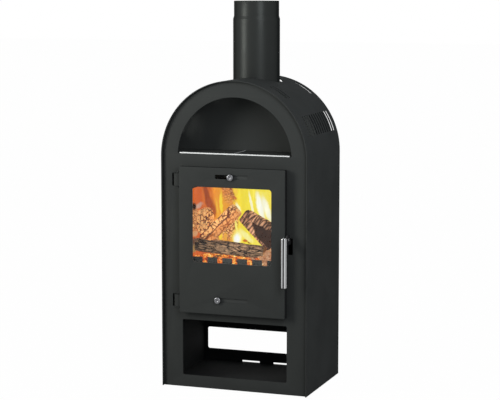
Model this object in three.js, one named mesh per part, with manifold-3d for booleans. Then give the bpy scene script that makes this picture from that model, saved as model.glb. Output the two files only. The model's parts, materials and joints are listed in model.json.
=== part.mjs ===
import * as THREE from 'three';
import { mergeVertices } from 'three/addons/utils/BufferGeometryUtils.js';
import Module from 'manifold-3d';

const wasm = await Module();
wasm.setup();

// An arch-topped wood stove on a log store. Millimetres, +Z up, X to the right of the person in front.
// While it is built, Y is 0 at the front edge of the casing and grows to the back; the last lines
// move the whole stove so that its origin is on the floor under the middle of the casing.

// Driving sizes of the casing
const bodyWidth = 500;
const bodyDepth = 360;
const archCentreHeight = 765;
const pipeOverArch = 257;
const shellThickness = 3;
const lipDepth = 10;
const plateThickness = 4;
const sheetThickness = 2;

// Clearances and cutting allowances
const gap = 0.3;
const runningGap = 0.3;
const cutOver = 6;

// Facets of round work
const archSegments = 48;
const pipeSegments = 48;
const smallSegments = 16;
const cornerSegments = 3;

// Openings of the front plate: how far in they are from the casing's sides, and their heights
const nicheMargin = 54.5;
const nicheSillRise = 9.7;
const nicheToPipe = 18.9;
const apertureMargin = 31.5;
const apertureBottom = 282;
const apertureTopDrop = 34.5;
const apertureRadius = 8;
const logOpeningMargin = 69.5;
const logOpeningBottom = 40;
const logOpeningTop = 226.5;
const logOpeningRadius = 5;

// Convection vents in the arch: slots that run round the arch, in rows along the depth
const ventCount = 12;
const ventFirstDepth = 72.7;
const ventRearMargin = 33.2;
const ventWidth = 12;
const ventFromAngle = 57.2;
const ventToAngle = 73.2;
const topVentRows = [0, 1, ventCount - 1];
const topVentFromAngle = 23.6;
const topVentToAngle = 39.6;
const ventSegments = 4;

// Flue
const flueFromRear = 133;
const pipeRadius = 77.5;
const pipeWall = 2;
const spigotRadius = 74.5;
const spigotLength = 50;
const spigotTaper = 9;
const shellFlueRadius = 86;
const collarWall = 3.5;
const collarHeight = 44;
const collarFlangeRadius = 96;
const collarFlangeThickness = 4;

// Base, log store and rear
const baseThickness = 3;
const baseRearInset = 3;
const logFloorHeight = 20;
const linerMargin = 19;
const logCeilingHeight = 236;
const rearInset = 26.3;
const rearPanelMargin = 15;
const rearCutMargin = 34.1;
const rearCutBottom = 60;
const rearCutTop = 135.5;
const rearCutRadius = 6;
const rearSlotSpacing = 114;
const rearSlotLength = 64.5;
const rearSlotBottom = 20.6;
const rearSlotHeight = 5.4;

// Shelf in the niche
const shelfThickness = 4;
const trimThickness = 3.4;
const trimHeight = 3.8;
const trimMargin = 7.5;
const trimOffset = -4;

// Firebox
const fireboxMargin = 84;
const fireboxWall = 4;
const fireboxBottom = 262;
const fireboxTopDrop = 18.7;
const fireboxRearMargin = 55.7;
const sideBrickThickness = 14;
const backBrickThickness = 25;
const brickTopDrop = 71;
const baffleThickness = 25;
const baffleFront = 70;
const hearthPlateHeight = 368;
const hearthPlateThickness = 4;
const hearthBedThickness = 24;
const hearthFrontGap = 4;
const grateHalfWidth = 100;
const grateFront = 70;
const grateBackMargin = 50;
const grateLedge = 12;
const grateThickness = 18;
const grateSlotCount = 9;
const grateSlotWidth = 9;
const grateSlotPitch = 20;
const grateRim = 14;
const panHalfWidth = 95;
const panFront = 30;
const panBackMargin = 50;
const panHeight = 54;
const panWall = 1.5;
const panLipLength = 60;
const panLipReach = 10;
const panLipThickness = 2;
const railMargin = 26;

// Log guard: a toothed plate behind the foot of the window
const guardMargin = 11;
const guardThickness = 3;
const guardTop = 436.4;
const guardGapCount = 5;
const guardEndTooth = 43.15;
const guardGapWidth = 17.7;
const guardGapDepth = 30;
const guardGapRadius = 5;

// Door
const doorMargin = 68.5;
const doorBottom = 254.5;
const doorTopDrop = 40.2;
const doorStandOff = 25;
const doorSkin = 4;
const doorReturnDepth = 22;
const doorReturnWall = 3;
const doorCornerRadius = 3;
const windowMargin = 46;
const windowBottom = 423.5;
const windowTopDrop = 64;
const windowRadius = 10;
const gasketThickness = 2;
const glassThickness = 4;
const glassBorder = 12.5;
const clipLength = 40;
const clipThickness = 2;
const clipReach = 10;
const clipWall = 4;
const sealInset = 9.5;
const sealWidth = 12;
const channelDepth = 9.4;
const ropeWidth = 10;
const ropeRadius = 5;

// Air sliders behind the door skin
const airSlotLength = 114;
const airSlotHeight = 13.6;
const airSlotRadius = 5;
const upperSlotDrop = 29.5;
const lowerSlotRise = 47.5;
const sliderThickness = 2;
const sliderHeight = 22;
const sliderLead = 12;
const sliderTail = 106;
const upperKnobPlace = -3;
const lowerKnobPlace = -47;
const guideMargin = 26.5;
const guideWall = 1.5;
const knobRadius = 11.5;
const knobThickness = 9;
const knobStemRadius = 4;
const knobEdge = 1.6;
const knobStandOff = 0.6;
const knobSpigotRadius = 2.5;

// Hinges: a curved arm that turns on a pin behind the front plate
const hingeOffset = 9;
const hingeAxisBehindPlate = 4.5;
const hingeArmOuterRadius = 20.4;
const hingeArmThickness = 4;
const hingeArmHeight = 40;
const upperHingeDrop = 45.5;
const lowerHingeRise = 34.5;
const knuckleRadius = 4;
const pinRadius = 2.5;
const pinHeadRadius = 4.2;
const pinHeadThickness = 2;
const lugThickness = 6;
const lugHalfWidth = 9.5;
const hingeSlotRight = 12.5;
const hingeSlotLeft = 24.5;
const hingeSlotMargin = 1;
const hingeSlotRadius = 2;
const hingeScrewOffsetX = 4.5;
const hingeScrewOffset = 23.3;
const hingeScrewRadius = 2.3;

// Latch and handle
const latchClearance = 3.8;
const latchPivotForward = 16;
const latchPivotHeight = 512;
const leverThickness = 6;
const leverHubRadius = 15.5;
const tongueRise = 2;
const tongueHeight = 20;
const tongueLength = 10;
const tongueRadius = 4;
const latchSlotNearMargin = 1.3;
const latchSlotFarMargin = 8.7;
const latchSlotRise = 4;
const latchSlotHeight = 56;
const latchSlotRadius = 1.5;
const boltRadius = 3;
const boltCollarRadius = 6;
const boltHeadRadius = 6;
const boltHeadThickness = 3.4;
const boltHeadEdge = 1.2;
const handleRadius = 9.8;
const handleWall = 1.5;
const handleForward = 53.6;
const handleRise = 8.5;
const handleLength = 158.5;
const handlePlugThickness = 3;
const leverGripDrop = 17;
const leverGripHeight = 24;
const keeperThickness = 4;
const keeperHalfWidth = 11;
const keeperReach = 16;
const keeperFoot = 32;

// Firewood: its thickness, length and place grow with the height of the fire chamber
const logSides = 12;
const bottomLogRadiusShare = 0.0693;
const bottomLogLeftShare = 0.2355;
const frontLogRadiusShare = 0.09;
const frontLogLeftShare = 0.0277;
const frontLogRightShare = 0.2;
const roundLogRadiusShare = 0.0866;
const leaningLogRadiusShare = 0.0485;
const leaningLogFootShare = 0.0554;
const leaningLogLengthShare = 0.485;
const splitLogHalfHeightShare = 0.09;
const splitLogHalfDepthShare = 0.0762;
const splitLogSideShare = 0.1247;
const splitLogRunShare = 0.367;
const splitLogFootShare = 0.111;
const splitLogTopShare = 0.398;
const bottomLogFront = 40;
const bottomLogBackGap = 45;
const frontLogDepth = 52;
const roundLogLength = 56;
const roundLogFront = 34;
const leaningLogRise = 37;

// Sizes worked out from those above
const halfWidth = bodyWidth / 2;
const innerRadius = halfWidth - shellThickness;
const fitRadius = innerRadius - gap;
const plateFront = lipDepth;
const plateRear = plateFront + plateThickness;
const behindPlate = plateRear + gap;
const rearFace = bodyDepth - rearInset;
const rearPanelFront = rearFace - sheetThickness;
const rearPanelRadius = halfWidth - rearPanelMargin;
const rearCutHalfWidth = halfWidth - rearCutMargin;
const linerHalfWidth = halfWidth - linerMargin;
const logOpeningHalfWidth = halfWidth - logOpeningMargin;
const ventPitch = (bodyDepth - ventRearMargin - ventFirstDepth) / (ventCount - 1);
const flueDepth = bodyDepth - flueFromRear;
const pipeTopHeight = archCentreHeight + halfWidth + pipeOverArch;
const nicheRadius = halfWidth - nicheMargin;
const nicheSillHeight = archCentreHeight + nicheSillRise;
const nicheBack = flueDepth - pipeRadius - nicheToPipe;
const trimHalfLength = nicheRadius - trimMargin;
const shelfTop = nicheSillHeight + trimHeight - gap;
const shelfBottom = shelfTop - shelfThickness;
const nicheFloorTop = shelfBottom - gap;
const shelfHalfWidth = Math.sqrt(fitRadius ** 2 - (shelfTop - archCentreHeight) ** 2);
const fireboxHalfWidth = halfWidth - fireboxMargin;
const fireboxInner = fireboxHalfWidth - fireboxWall;
const fireboxTop = nicheSillHeight - fireboxTopDrop;
const fireboxBack = bodyDepth - fireboxRearMargin;
const brickTop = fireboxTop - brickTopDrop;
const brickFront = behindPlate + hearthFrontGap;
const liningBack = fireboxBack - fireboxWall - gap;
const backBrickFront = liningBack - backBrickThickness;
const fireHalfWidth = fireboxInner - gap - sideBrickThickness - gap;
const grateBack = liningBack - grateBackMargin;
const panBack = liningBack - panBackMargin;
const railHalfSpacing = fireboxHalfWidth - railMargin;
const guardHalfWidth = fireboxHalfWidth - guardMargin;
const guardEndGap = guardHalfWidth - guardEndTooth - guardGapWidth / 2;
const guardPitch = (2 * guardEndGap) / (guardGapCount - 1);
const hearthPlateTop = hearthPlateHeight + hearthPlateThickness;
const hearthTop = hearthPlateTop + gap + hearthBedThickness;
const doorHalfWidth = halfWidth - doorMargin;
const doorTop = nicheSillHeight - doorTopDrop;
const doorFront = plateFront - doorStandOff;
const doorSkinRear = doorFront + doorSkin;
const doorRear = doorFront + doorReturnDepth;
const apertureHalfWidth = doorHalfWidth - apertureMargin;
const apertureTop = doorTop - apertureTopDrop;
const windowHalfWidth = doorHalfWidth - windowMargin;
const windowTop = doorTop - windowTopDrop;
const windowMiddle = (windowBottom + windowTop) / 2;
const windowHalfHeight = (windowTop - windowBottom) / 2;
const glassFront = doorSkinRear + gap + gasketThickness + gap;
const glassRear = glassFront + glassThickness;
const sliderFront = doorSkinRear + gap;
const sliderRear = sliderFront + sliderThickness;
const guideHalfLength = doorHalfWidth - guideMargin;
const upperSlotHeight = doorTop - upperSlotDrop;
const lowerSlotHeight = doorBottom + lowerSlotRise;
const upperHingeHeight = doorTop - upperHingeDrop;
const lowerHingeHeight = doorBottom + lowerHingeRise;
const hingeAxisX = -doorHalfWidth - hingeOffset;
const hingeScrewX = hingeAxisX - hingeScrewOffsetX;
const hingeAxisY = plateRear + hingeAxisBehindPlate;
const hingeArmInnerRadius = hingeArmOuterRadius - hingeArmThickness;
const hingeSlotHalf = hingeArmHeight / 2 + hingeSlotMargin;
const pinHoleRadius = pinRadius + runningGap;
const latchPivotX = doorHalfWidth + latchClearance;
const latchPivotY = plateFront - latchPivotForward;
const latchSlotLeft = latchPivotX - latchSlotNearMargin;
const latchSlotRight = latchPivotX + leverThickness + latchSlotFarMargin;
const latchSlotTop = latchPivotHeight + latchSlotRise;
const latchSlotBottom = latchSlotTop - latchSlotHeight;
const tongueTop = latchPivotHeight + tongueRise;
const tongueBottom = tongueTop - tongueHeight;
const boltHoleRadius = boltRadius + runningGap;
const handleX = latchPivotX + leverThickness / 2;
const handleY = plateFront - handleForward;
const handleTop = latchPivotHeight + handleRise;
const handleBottom = handleTop - handleLength;
const leverGripTop = latchPivotHeight - leverGripDrop;
const leverGripBottom = leverGripTop - leverGripHeight;
const fireHeight = brickTop - hearthTop;
const bottomLogRadius = fireHeight * bottomLogRadiusShare;
const frontLogRadius = fireHeight * frontLogRadiusShare;
const roundLogRadius = fireHeight * roundLogRadiusShare;
const leaningLogRadius = fireHeight * leaningLogRadiusShare;
const leaningLogLength = fireHeight * leaningLogLengthShare;
const splitLogHalfHeight = fireHeight * splitLogHalfHeightShare;
const splitLogHalfDepth = fireHeight * splitLogHalfDepthShare;
const splitLogLow = [
  fireHalfWidth - fireHeight * splitLogSideShare,
  hearthTop + fireHeight * splitLogFootShare,
];
const splitLogHigh = [
  splitLogLow[0] - fireHeight * splitLogRunShare,
  brickTop - fireHeight * splitLogTopShare,
];

// Colours and finishes
const finishes = {
  blackSteel: { color: 0x3a3c3b, roughness: 0.55, metalness: 0.4 },
  pipeSteel: { color: 0x3b3d3f, roughness: 0.45, metalness: 0.5 },
  darkSheet: { color: 0x1c1d1d, roughness: 0.7, metalness: 0.3 },
  castIron: { color: 0x262626, roughness: 0.8, metalness: 0.4 },
  brightSteel: { color: 0xcfd1d2, roughness: 0.25, metalness: 1 },
  blackPlug: { color: 0x141414, roughness: 0.6, metalness: 0 },
  glass: { color: 0xdfe6e4, roughness: 0.05, metalness: 0, transparent: true, opacity: 0.3 },
  seal: { color: 0x8c8b86, roughness: 0.95, metalness: 0 },
  brick: { color: 0xb08c62, roughness: 0.95, metalness: 0 },
  galvanised: { color: 0x7b7e80, roughness: 0.5, metalness: 0.8 },
  bark: { color: 0x6f5844, roughness: 0.95, metalness: 0 },
};

// Turns a geometry into a solid with its faces pointing out
function solidOf(geometry) {
  const plain = geometry.clone();
  plain.deleteAttribute('normal');
  plain.deleteAttribute('uv');
  const merged = mergeVertices(plain);
  const place = merged.attributes.position;
  const triangles = [];
  let volume = 0;
  const a = new THREE.Vector3();
  const b = new THREE.Vector3();
  const c = new THREE.Vector3();
  for (let i = 0; i < merged.index.count; i += 3) {
    const [p, q, r] = [0, 1, 2].map((k) => merged.index.getX(i + k));
    if (p === q || q === r || r === p) continue;
    triangles.push([p, q, r]);
    a.fromBufferAttribute(place, p);
    b.fromBufferAttribute(place, q);
    c.fromBufferAttribute(place, r);
    volume += a.dot(b.cross(c));
  }
  const outward = triangles.map(([p, q, r]) => (volume > 0 ? [p, q, r] : [p, r, q]));
  return new wasm.Manifold(new wasm.Mesh({
    numProp: 3,
    vertProperties: new Float32Array(place.array),
    triVerts: new Uint32Array(outward.flat()),
  }));
}

// Turns a solid back into a geometry for a mesh
function geometryOf(solid) {
  const mesh = solid.getMesh();
  const geometry = new THREE.BufferGeometry();
  geometry.setAttribute('position', new THREE.BufferAttribute(mesh.vertProperties, 3));
  geometry.setIndex(new THREE.BufferAttribute(mesh.triVerts, 1));
  return geometry;
}

function cut(base, ...tools) {
  return geometryOf(tools.reduce((solid, tool) => solid.subtract(solidOf(tool)), solidOf(base)));
}

function join(base, ...others) {
  return geometryOf(others.reduce((solid, other) => solid.add(solidOf(other)), solidOf(base)));
}

function box([x0, x1], [y0, y1], [z0, z1]) {
  const block = new THREE.BoxGeometry(x1 - x0, y1 - y0, z1 - z0);
  return block.translate((x0 + x1) / 2, (y0 + y1) / 2, (z0 + z1) / 2);
}

// The three extrusions: an outline drawn in one plane and pushed along the axis square to it
function extruded(outline, length) {
  return new THREE.ExtrudeGeometry(outline, { depth: length, bevelEnabled: false });
}

function alongY(outline, y0, y1) {
  return extruded(outline, y1 - y0).rotateX(Math.PI / 2).translate(0, y1, 0);
}

function alongX(outline, x0, x1) {
  const turn = new THREE.Matrix4().makeBasis(
    new THREE.Vector3(0, 1, 0), new THREE.Vector3(0, 0, 1), new THREE.Vector3(1, 0, 0));
  return extruded(outline, x1 - x0).applyMatrix4(turn).translate(x0, 0, 0);
}

function alongZ(outline, z0, z1) {
  return extruded(outline, z1 - z0).translate(0, 0, z0);
}

// A turned piece: a closed profile of radius and height, spun round the Z axis
function turned(profile, segments) {
  const points = profile.map(([radius, height]) => new THREE.Vector2(radius, height));
  return new THREE.LatheGeometry(points, segments).rotateX(Math.PI / 2);
}

function rod(radius, z0, z1, segments = smallSegments) {
  return turned([[0, z0], [radius, z0], [radius, z1], [0, z1]], segments);
}

// Outlines and the holes in them, from a list of points
function outlineOf(points) {
  return new THREE.Shape(points.map(([x, y]) => new THREE.Vector2(x, y)));
}

function holeOf(points) {
  return new THREE.Path(points.map(([x, y]) => new THREE.Vector2(x, y)));
}

// The points of an arc between two angles in degrees, counted anticlockwise from the first axis
function arc(x, y, radius, from, to, segments) {
  return Array.from({ length: segments + 1 }, (_, step) => {
    const angle = THREE.MathUtils.degToRad(from + ((to - from) * step) / segments);
    return [x + radius * Math.cos(angle), y + radius * Math.sin(angle)];
  });
}

function circle(x, y, radius, segments = smallSegments) {
  return arc(x, y, radius, 0, 360, segments).slice(1);
}

// A rectangle with rounded corners
function rounded([x0, x1], [y0, y1], radius) {
  return [
    ...arc(x1 - radius, y0 + radius, radius, -90, 0, cornerSegments),
    ...arc(x1 - radius, y1 - radius, radius, 0, 90, cornerSegments),
    ...arc(x0 + radius, y1 - radius, radius, 90, 180, cornerSegments),
    ...arc(x0 + radius, y0 + radius, radius, 180, 270, cornerSegments),
  ];
}

// The outline of a plate that fills the casing from a height up to the arch
function archPoints(radius, bottom) {
  return [
    [-radius, bottom], [radius, bottom],
    ...arc(0, archCentreHeight, radius, 0, 180, archSegments),
  ];
}

// The same above the middle of the arch: what is left of a circle over a level chord
function chordPoints(radius, bottom) {
  const rise = Math.asin((bottom - archCentreHeight) / radius);
  const [start, end] = [rise, Math.PI - rise].map((angle) => THREE.MathUtils.radToDeg(angle));
  return arc(0, archCentreHeight, radius, start, end, archSegments);
}

// The points of an arc of the casing between two angles in degrees, counted from its top
function archArc(radius, from, to) {
  const points = arc(0, 0, radius, from, to, ventSegments);
  return points.map(([up, side]) => [side, archCentreHeight + up]);
}

// A piece of the ring between two radii
function archSector(inner, outer, from, to) {
  return outlineOf([...archArc(outer, from, to), ...archArc(inner, to, from)]);
}

function ventDepths(rows) {
  return rows.map((row) => ventFirstDepth + row * ventPitch);
}

// Casing
function outerShell() {
  const inside = outlineOf(archPoints(innerRadius, -cutOver));
  const shell = cut(
    alongY(outlineOf(archPoints(halfWidth, 0)), 0, bodyDepth),
    alongY(inside, -cutOver, bodyDepth + cutOver));
  const slots = [
    [ventDepths([...Array(ventCount).keys()]), ventFromAngle, ventToAngle],
    [ventDepths(topVentRows), topVentFromAngle, topVentToAngle],
  ];
  const tools = [];
  for (const [depths, from, to] of slots) {
    for (const depth of depths) {
      for (const [a, b] of [[from, to], [-to, -from]]) {
        const sector = archSector(innerRadius - cutOver, halfWidth + cutOver, a, b);
        tools.push(alongY(sector, depth - ventWidth / 2, depth + ventWidth / 2));
      }
    }
  }
  const flueHole = rod(shellFlueRadius, archCentreHeight, archCentreHeight + bodyWidth, pipeSegments);
  tools.push(flueHole.translate(0, flueDepth, 0));
  return cut(shell, ...tools);
}

function frontPlate() {
  const plate = outlineOf(archPoints(fitRadius, 0));
  const hinges = [upperHingeHeight, lowerHingeHeight];
  const hingeSlots = hinges.map((height) => rounded(
    [hingeAxisX - hingeSlotLeft, hingeAxisX - hingeSlotRight],
    [height - hingeSlotHalf, height + hingeSlotHalf], hingeSlotRadius));
  const screwHoles = hinges.flatMap((height) => [-1, 1].map((side) =>
    circle(hingeScrewX, height + side * hingeScrewOffset, hingeScrewRadius)));
  const holes = [
    chordPoints(nicheRadius, nicheSillHeight),
    rounded([-apertureHalfWidth, apertureHalfWidth], [apertureBottom, apertureTop], apertureRadius),
    rounded([-logOpeningHalfWidth, logOpeningHalfWidth], [logOpeningBottom, logOpeningTop],
      logOpeningRadius),
    rounded([latchSlotLeft, latchSlotRight], [latchSlotBottom, latchSlotTop], latchSlotRadius),
    ...hingeSlots,
    ...screwHoles,
  ];
  plate.holes.push(...holes.map(holeOf));
  return alongY(plate, plateFront, plateRear);
}

function basePlate() {
  return box([-fitRadius, fitRadius], [behindPlate, bodyDepth - baseRearInset], [0, baseThickness]);
}

// One bent sheet: the floor of the log store and its two sides, which stand on the base
function logStoreLiner() {
  const [foot, top] = [baseThickness + gap, logCeilingHeight - gap];
  const [outer, inner] = [linerHalfWidth, linerHalfWidth - sheetThickness];
  const under = logFloorHeight - sheetThickness;
  const outline = outlineOf([
    [-outer, foot], [-inner, foot], [-inner, under], [inner, under], [inner, foot], [outer, foot],
    [outer, top], [inner, top], [inner, logFloorHeight], [-inner, logFloorHeight], [-inner, top],
    [-outer, top],
  ]);
  return alongY(outline, behindPlate, rearPanelFront - gap);
}

// The ceiling of the log store carries two rails that the firebox stands on
function logStoreCeiling() {
  const [bottom, top] = [logCeilingHeight, logCeilingHeight + sheetThickness];
  const railTop = fireboxBottom - gap;
  const [outer, inner] = [railHalfSpacing, railHalfSpacing - sheetThickness];
  const outline = outlineOf([
    [-fitRadius, bottom], [fitRadius, bottom], [fitRadius, top], [outer, top], [outer, railTop],
    [inner, railTop], [inner, top], [-inner, top], [-inner, railTop], [-outer, railTop], [-outer, top],
    [-fitRadius, top],
  ]);
  return alongY(outline, behindPlate, rearPanelFront - gap);
}

function rearPanel() {
  const foot = baseThickness + gap;
  const panel = outlineOf([
    [-fitRadius, archCentreHeight], [-fitRadius, foot], [fitRadius, foot],
    [fitRadius, archCentreHeight],
    ...arc(0, archCentreHeight, rearPanelRadius, 0, 180, archSegments),
  ]);
  const slots = [-1, 1].map((side) => {
    const middle = (side * rearSlotSpacing) / 2;
    return rounded([middle - rearSlotLength / 2, middle + rearSlotLength / 2],
      [rearSlotBottom, rearSlotBottom + rearSlotHeight], rearSlotHeight / 2 - gap);
  });
  const opening = rounded([-rearCutHalfWidth, rearCutHalfWidth], [rearCutBottom, rearCutTop],
    rearCutRadius);
  panel.holes.push(...[opening, ...slots].map(holeOf));
  return alongY(panel, rearPanelFront, rearFace);
}

// Niche
function nicheFloor() {
  return box([-shelfHalfWidth, shelfHalfWidth], [behindPlate, nicheBack],
    [nicheFloorTop - sheetThickness, nicheFloorTop]);
}

function nicheBackPlate() {
  const outline = outlineOf(chordPoints(fitRadius, nicheFloorTop - sheetThickness));
  return alongY(outline, nicheBack + gap, nicheBack + gap + sheetThickness);
}

function shelfPlate(side) {
  const seam = trimOffset + side * (trimThickness / 2 + gap);
  const ends = [seam, side * shelfHalfWidth].sort((a, b) => a - b);
  return box(ends, [behindPlate, nicheBack], [shelfBottom, shelfTop]);
}

function shelfTrimFront() {
  return box([-trimHalfLength, trimHalfLength], [plateFront, plateRear],
    [nicheSillHeight + gap, nicheSillHeight + gap + trimHeight]);
}

function shelfTrimCentre() {
  return box([trimOffset - trimThickness / 2, trimOffset + trimThickness / 2],
    [behindPlate, nicheBack], [shelfBottom, shelfTop + gap]);
}

// Firebox and its lining
function fireboxBody() {
  const body = box([-fireboxHalfWidth, fireboxHalfWidth], [behindPlate, fireboxBack],
    [fireboxBottom, fireboxTop]);
  const room = box([-fireboxInner, fireboxInner], [behindPlate - cutOver, fireboxBack - fireboxWall],
    [fireboxBottom + fireboxWall, fireboxTop - fireboxWall]);
  const outlet = rod(spigotRadius - collarWall, fireboxTop - fireboxWall - cutOver,
    fireboxTop + cutOver, pipeSegments);
  return cut(body, room, outlet.translate(0, flueDepth, 0));
}

function flueCollar() {
  const bottom = fireboxTop + gap;
  const outer = pipeRadius - pipeWall - gap;
  const inner = outer - collarWall;
  return turned([
    [inner, bottom], [collarFlangeRadius, bottom],
    [collarFlangeRadius, bottom + collarFlangeThickness], [outer, bottom + collarFlangeThickness],
    [outer, bottom + collarHeight], [inner, bottom + collarHeight], [inner, bottom],
  ], pipeSegments);
}

// The pipe stands on the collar's flange; its top is drawn in to a spigot for the next length
function fluePipe() {
  const bottom = fireboxTop + gap + collarFlangeThickness + gap;
  const shoulder = pipeTopHeight - spigotLength;
  return turned([
    [pipeRadius - pipeWall, bottom], [pipeRadius, bottom], [pipeRadius, shoulder - spigotTaper],
    [spigotRadius, shoulder], [spigotRadius, pipeTopHeight],
    [spigotRadius - pipeWall, pipeTopHeight], [spigotRadius - pipeWall, shoulder],
    [pipeRadius - pipeWall, shoulder - spigotTaper], [pipeRadius - pipeWall, bottom],
  ], pipeSegments);
}

function hearthPlate() {
  const plate = box([-fireboxInner + gap, fireboxInner - gap], [behindPlate + gap, liningBack],
    [hearthPlateHeight, hearthPlateTop]);
  const hole = box([-grateHalfWidth + grateLedge, grateHalfWidth - grateLedge],
    [grateFront + grateLedge, grateBack - grateLedge],
    [hearthPlateHeight - cutOver, hearthPlateTop + cutOver]);
  return cut(plate, hole);
}

function hearthBed() {
  const bed = box([-fireboxInner + gap, fireboxInner - gap], [brickFront, liningBack],
    [hearthPlateTop + gap, hearthTop]);
  const hole = box([-grateHalfWidth, grateHalfWidth], [grateFront, grateBack],
    [hearthPlateTop - cutOver, hearthTop + cutOver]);
  return cut(bed, hole);
}

function grate() {
  const outline = outlineOf(rounded([-grateHalfWidth + gap, grateHalfWidth - gap],
    [grateFront + gap, grateBack - gap], gap));
  for (let slot = 0; slot < grateSlotCount; slot += 1) {
    const middle = (slot - (grateSlotCount - 1) / 2) * grateSlotPitch;
    outline.holes.push(holeOf(rounded([middle - grateSlotWidth / 2, middle + grateSlotWidth / 2],
      [grateFront + grateRim, grateBack - grateRim], grateSlotWidth / 2 - gap)));
  }
  return alongZ(outline, hearthPlateTop + gap, hearthPlateTop + gap + grateThickness);
}

function ashPan() {
  const floor = fireboxBottom + fireboxWall + gap;
  const top = floor + panHeight;
  const pan = box([-panHalfWidth, panHalfWidth], [panFront, panBack], [floor, top]);
  const room = box([-panHalfWidth + panWall, panHalfWidth - panWall],
    [panFront + panWall, panBack - panWall], [floor + panWall, top + cutOver]);
  const lip = box([-panLipLength / 2, panLipLength / 2],
    [panFront - panLipReach, panFront + panWall / 2], [top - panLipThickness, top]);
  return join(cut(pan, room), lip);
}

function sideBrick(side) {
  const ends = [side * (fireboxInner - gap), side * (fireboxInner - gap - sideBrickThickness)];
  return box(ends.sort((a, b) => a - b), [brickFront, liningBack], [hearthTop + gap, brickTop]);
}

function backBrick() {
  return box([-fireHalfWidth, fireHalfWidth], [backBrickFront, liningBack],
    [hearthTop + gap, brickTop]);
}

function bafflePlate() {
  return box([-fireboxInner + gap, fireboxInner - gap], [baffleFront, liningBack],
    [brickTop + gap, brickTop + gap + baffleThickness]);
}

function logGuard() {
  const bottom = hearthPlateTop + gap;
  const low = guardTop - guardGapDepth + guardGapRadius;
  const points = [[guardHalfWidth, guardTop], [guardHalfWidth, bottom], [-guardHalfWidth, bottom],
    [-guardHalfWidth, guardTop]];
  for (let number = 0; number < guardGapCount; number += 1) {
    const middle = (number - (guardGapCount - 1) / 2) * guardPitch;
    const [left, right] = [middle - guardGapWidth / 2, middle + guardGapWidth / 2];
    points.push(
      [left, guardTop],
      ...arc(left + guardGapRadius, low, guardGapRadius, 180, 270, cornerSegments),
      ...arc(right - guardGapRadius, low, guardGapRadius, 270, 360, cornerSegments),
      [right, guardTop]);
  }
  return alongY(outlineOf(points), behindPlate, behindPlate + guardThickness);
}

// Door: a skin with the window and the two air slots, on a frame that stands behind its edge
function airSlot(height) {
  return rounded([-airSlotLength / 2, airSlotLength / 2],
    [height - airSlotHeight / 2, height + airSlotHeight / 2], airSlotRadius);
}

// The outline of the window, or of what lies round it when it grows
function windowPoints(grow) {
  return rounded([-windowHalfWidth - grow, windowHalfWidth + grow],
    [windowBottom - grow, windowTop + grow], windowRadius);
}

// The outline of the door, or of what lies inside it when it shrinks
function doorPoints(inset, radius) {
  const half = doorHalfWidth - inset;
  return rounded([-half, half], [doorBottom + inset, doorTop - inset], radius);
}

function doorPanel() {
  const skin = outlineOf(doorPoints(0, doorCornerRadius));
  skin.holes.push(...[windowPoints(0), airSlot(upperSlotHeight), airSlot(lowerSlotHeight)].map(holeOf));
  return alongY(skin, doorFront, doorSkinRear);
}

function doorFrame() {
  const walls = outlineOf(doorPoints(0, doorCornerRadius));
  walls.holes.push(holeOf(doorPoints(doorReturnWall, doorCornerRadius / 2)));
  const boltHole = rod(boltHoleRadius, doorHalfWidth - doorReturnWall - cutOver,
    doorHalfWidth + cutOver);
  return cut(
    alongY(walls, doorSkinRear + gap, doorRear),
    boltHole.rotateY(Math.PI / 2).translate(0, latchPivotY, latchPivotHeight));
}

function doorGlass() {
  return alongY(outlineOf(windowPoints(glassBorder)), glassFront, glassRear);
}

function glassGasket() {
  const outline = outlineOf(windowPoints(glassBorder));
  outline.holes.push(holeOf(windowPoints(gap)));
  return alongY(outline, doorSkinRear + gap, doorSkinRear + gap + gasketThickness);
}

// A clip that grips one edge of the glass, made for an edge above it at the given distance
function glassClip(edge) {
  const [near, far] = [edge + gap, edge + gap + clipWall];
  const [toeFront, toeRear] = [glassRear + gap, glassRear + gap + clipThickness];
  const outline = outlineOf([
    [doorSkinRear + gap, near], [doorSkinRear + gap, far], [toeRear, far],
    [toeRear, near - clipReach], [toeFront, near - clipReach], [toeFront, near],
  ]);
  return alongX(outline, -clipLength / 2, clipLength / 2);
}

function sealRing(width, y0, y1, corner) {
  const [x, low, high] = [doorHalfWidth - sealInset, doorBottom + sealInset, doorTop - sealInset];
  const half = width / 2;
  const outline = outlineOf(rounded([-x - half, x + half], [low - half, high + half], corner + width));
  outline.holes.push(holeOf(rounded([-x + half, x - half], [low + half, high - half], corner)));
  return alongY(outline, y0, y1);
}

// Air sliders and their guides
function airSlider() {
  return cut(
    box([-sliderLead, sliderTail], [sliderFront, sliderRear], [-sliderHeight / 2, sliderHeight / 2]),
    rod(knobSpigotRadius + runningGap, sliderFront - cutOver, sliderRear + cutOver)
      .rotateX(-Math.PI / 2));
}

function sliderGuide(height) {
  const inner = sliderHeight / 2 + runningGap;
  const outer = inner + guideWall;
  const [web, back] = [sliderRear + runningGap, sliderRear + runningGap + guideWall];
  const outline = outlineOf([
    [sliderFront, -outer], [back, -outer], [back, outer], [sliderFront, outer], [sliderFront, inner],
    [web, inner], [web, -inner], [sliderFront, -inner],
  ]);
  const channel = alongX(outline, -guideHalfLength, guideHalfLength).translate(0, 0, height);
  return cut(channel, alongY(outlineOf(airSlot(height)), web - cutOver, back + cutOver));
}

// The knob's stem passes through the slot in the door and its spigot into the slider
function airKnob() {
  const [back, front] = [doorFront - knobStandOff, doorFront - knobStandOff - knobThickness];
  return turned([
    [0, front], [knobRadius - knobEdge, front], [knobRadius, front + knobEdge],
    [knobRadius, back - knobEdge], [knobRadius - knobEdge, back], [knobStemRadius, back],
    [knobStemRadius, sliderFront - gap], [knobSpigotRadius, sliderFront - gap],
    [knobSpigotRadius, sliderRear], [0, sliderRear],
  ], smallSegments * 2).rotateX(-Math.PI / 2);
}

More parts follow.
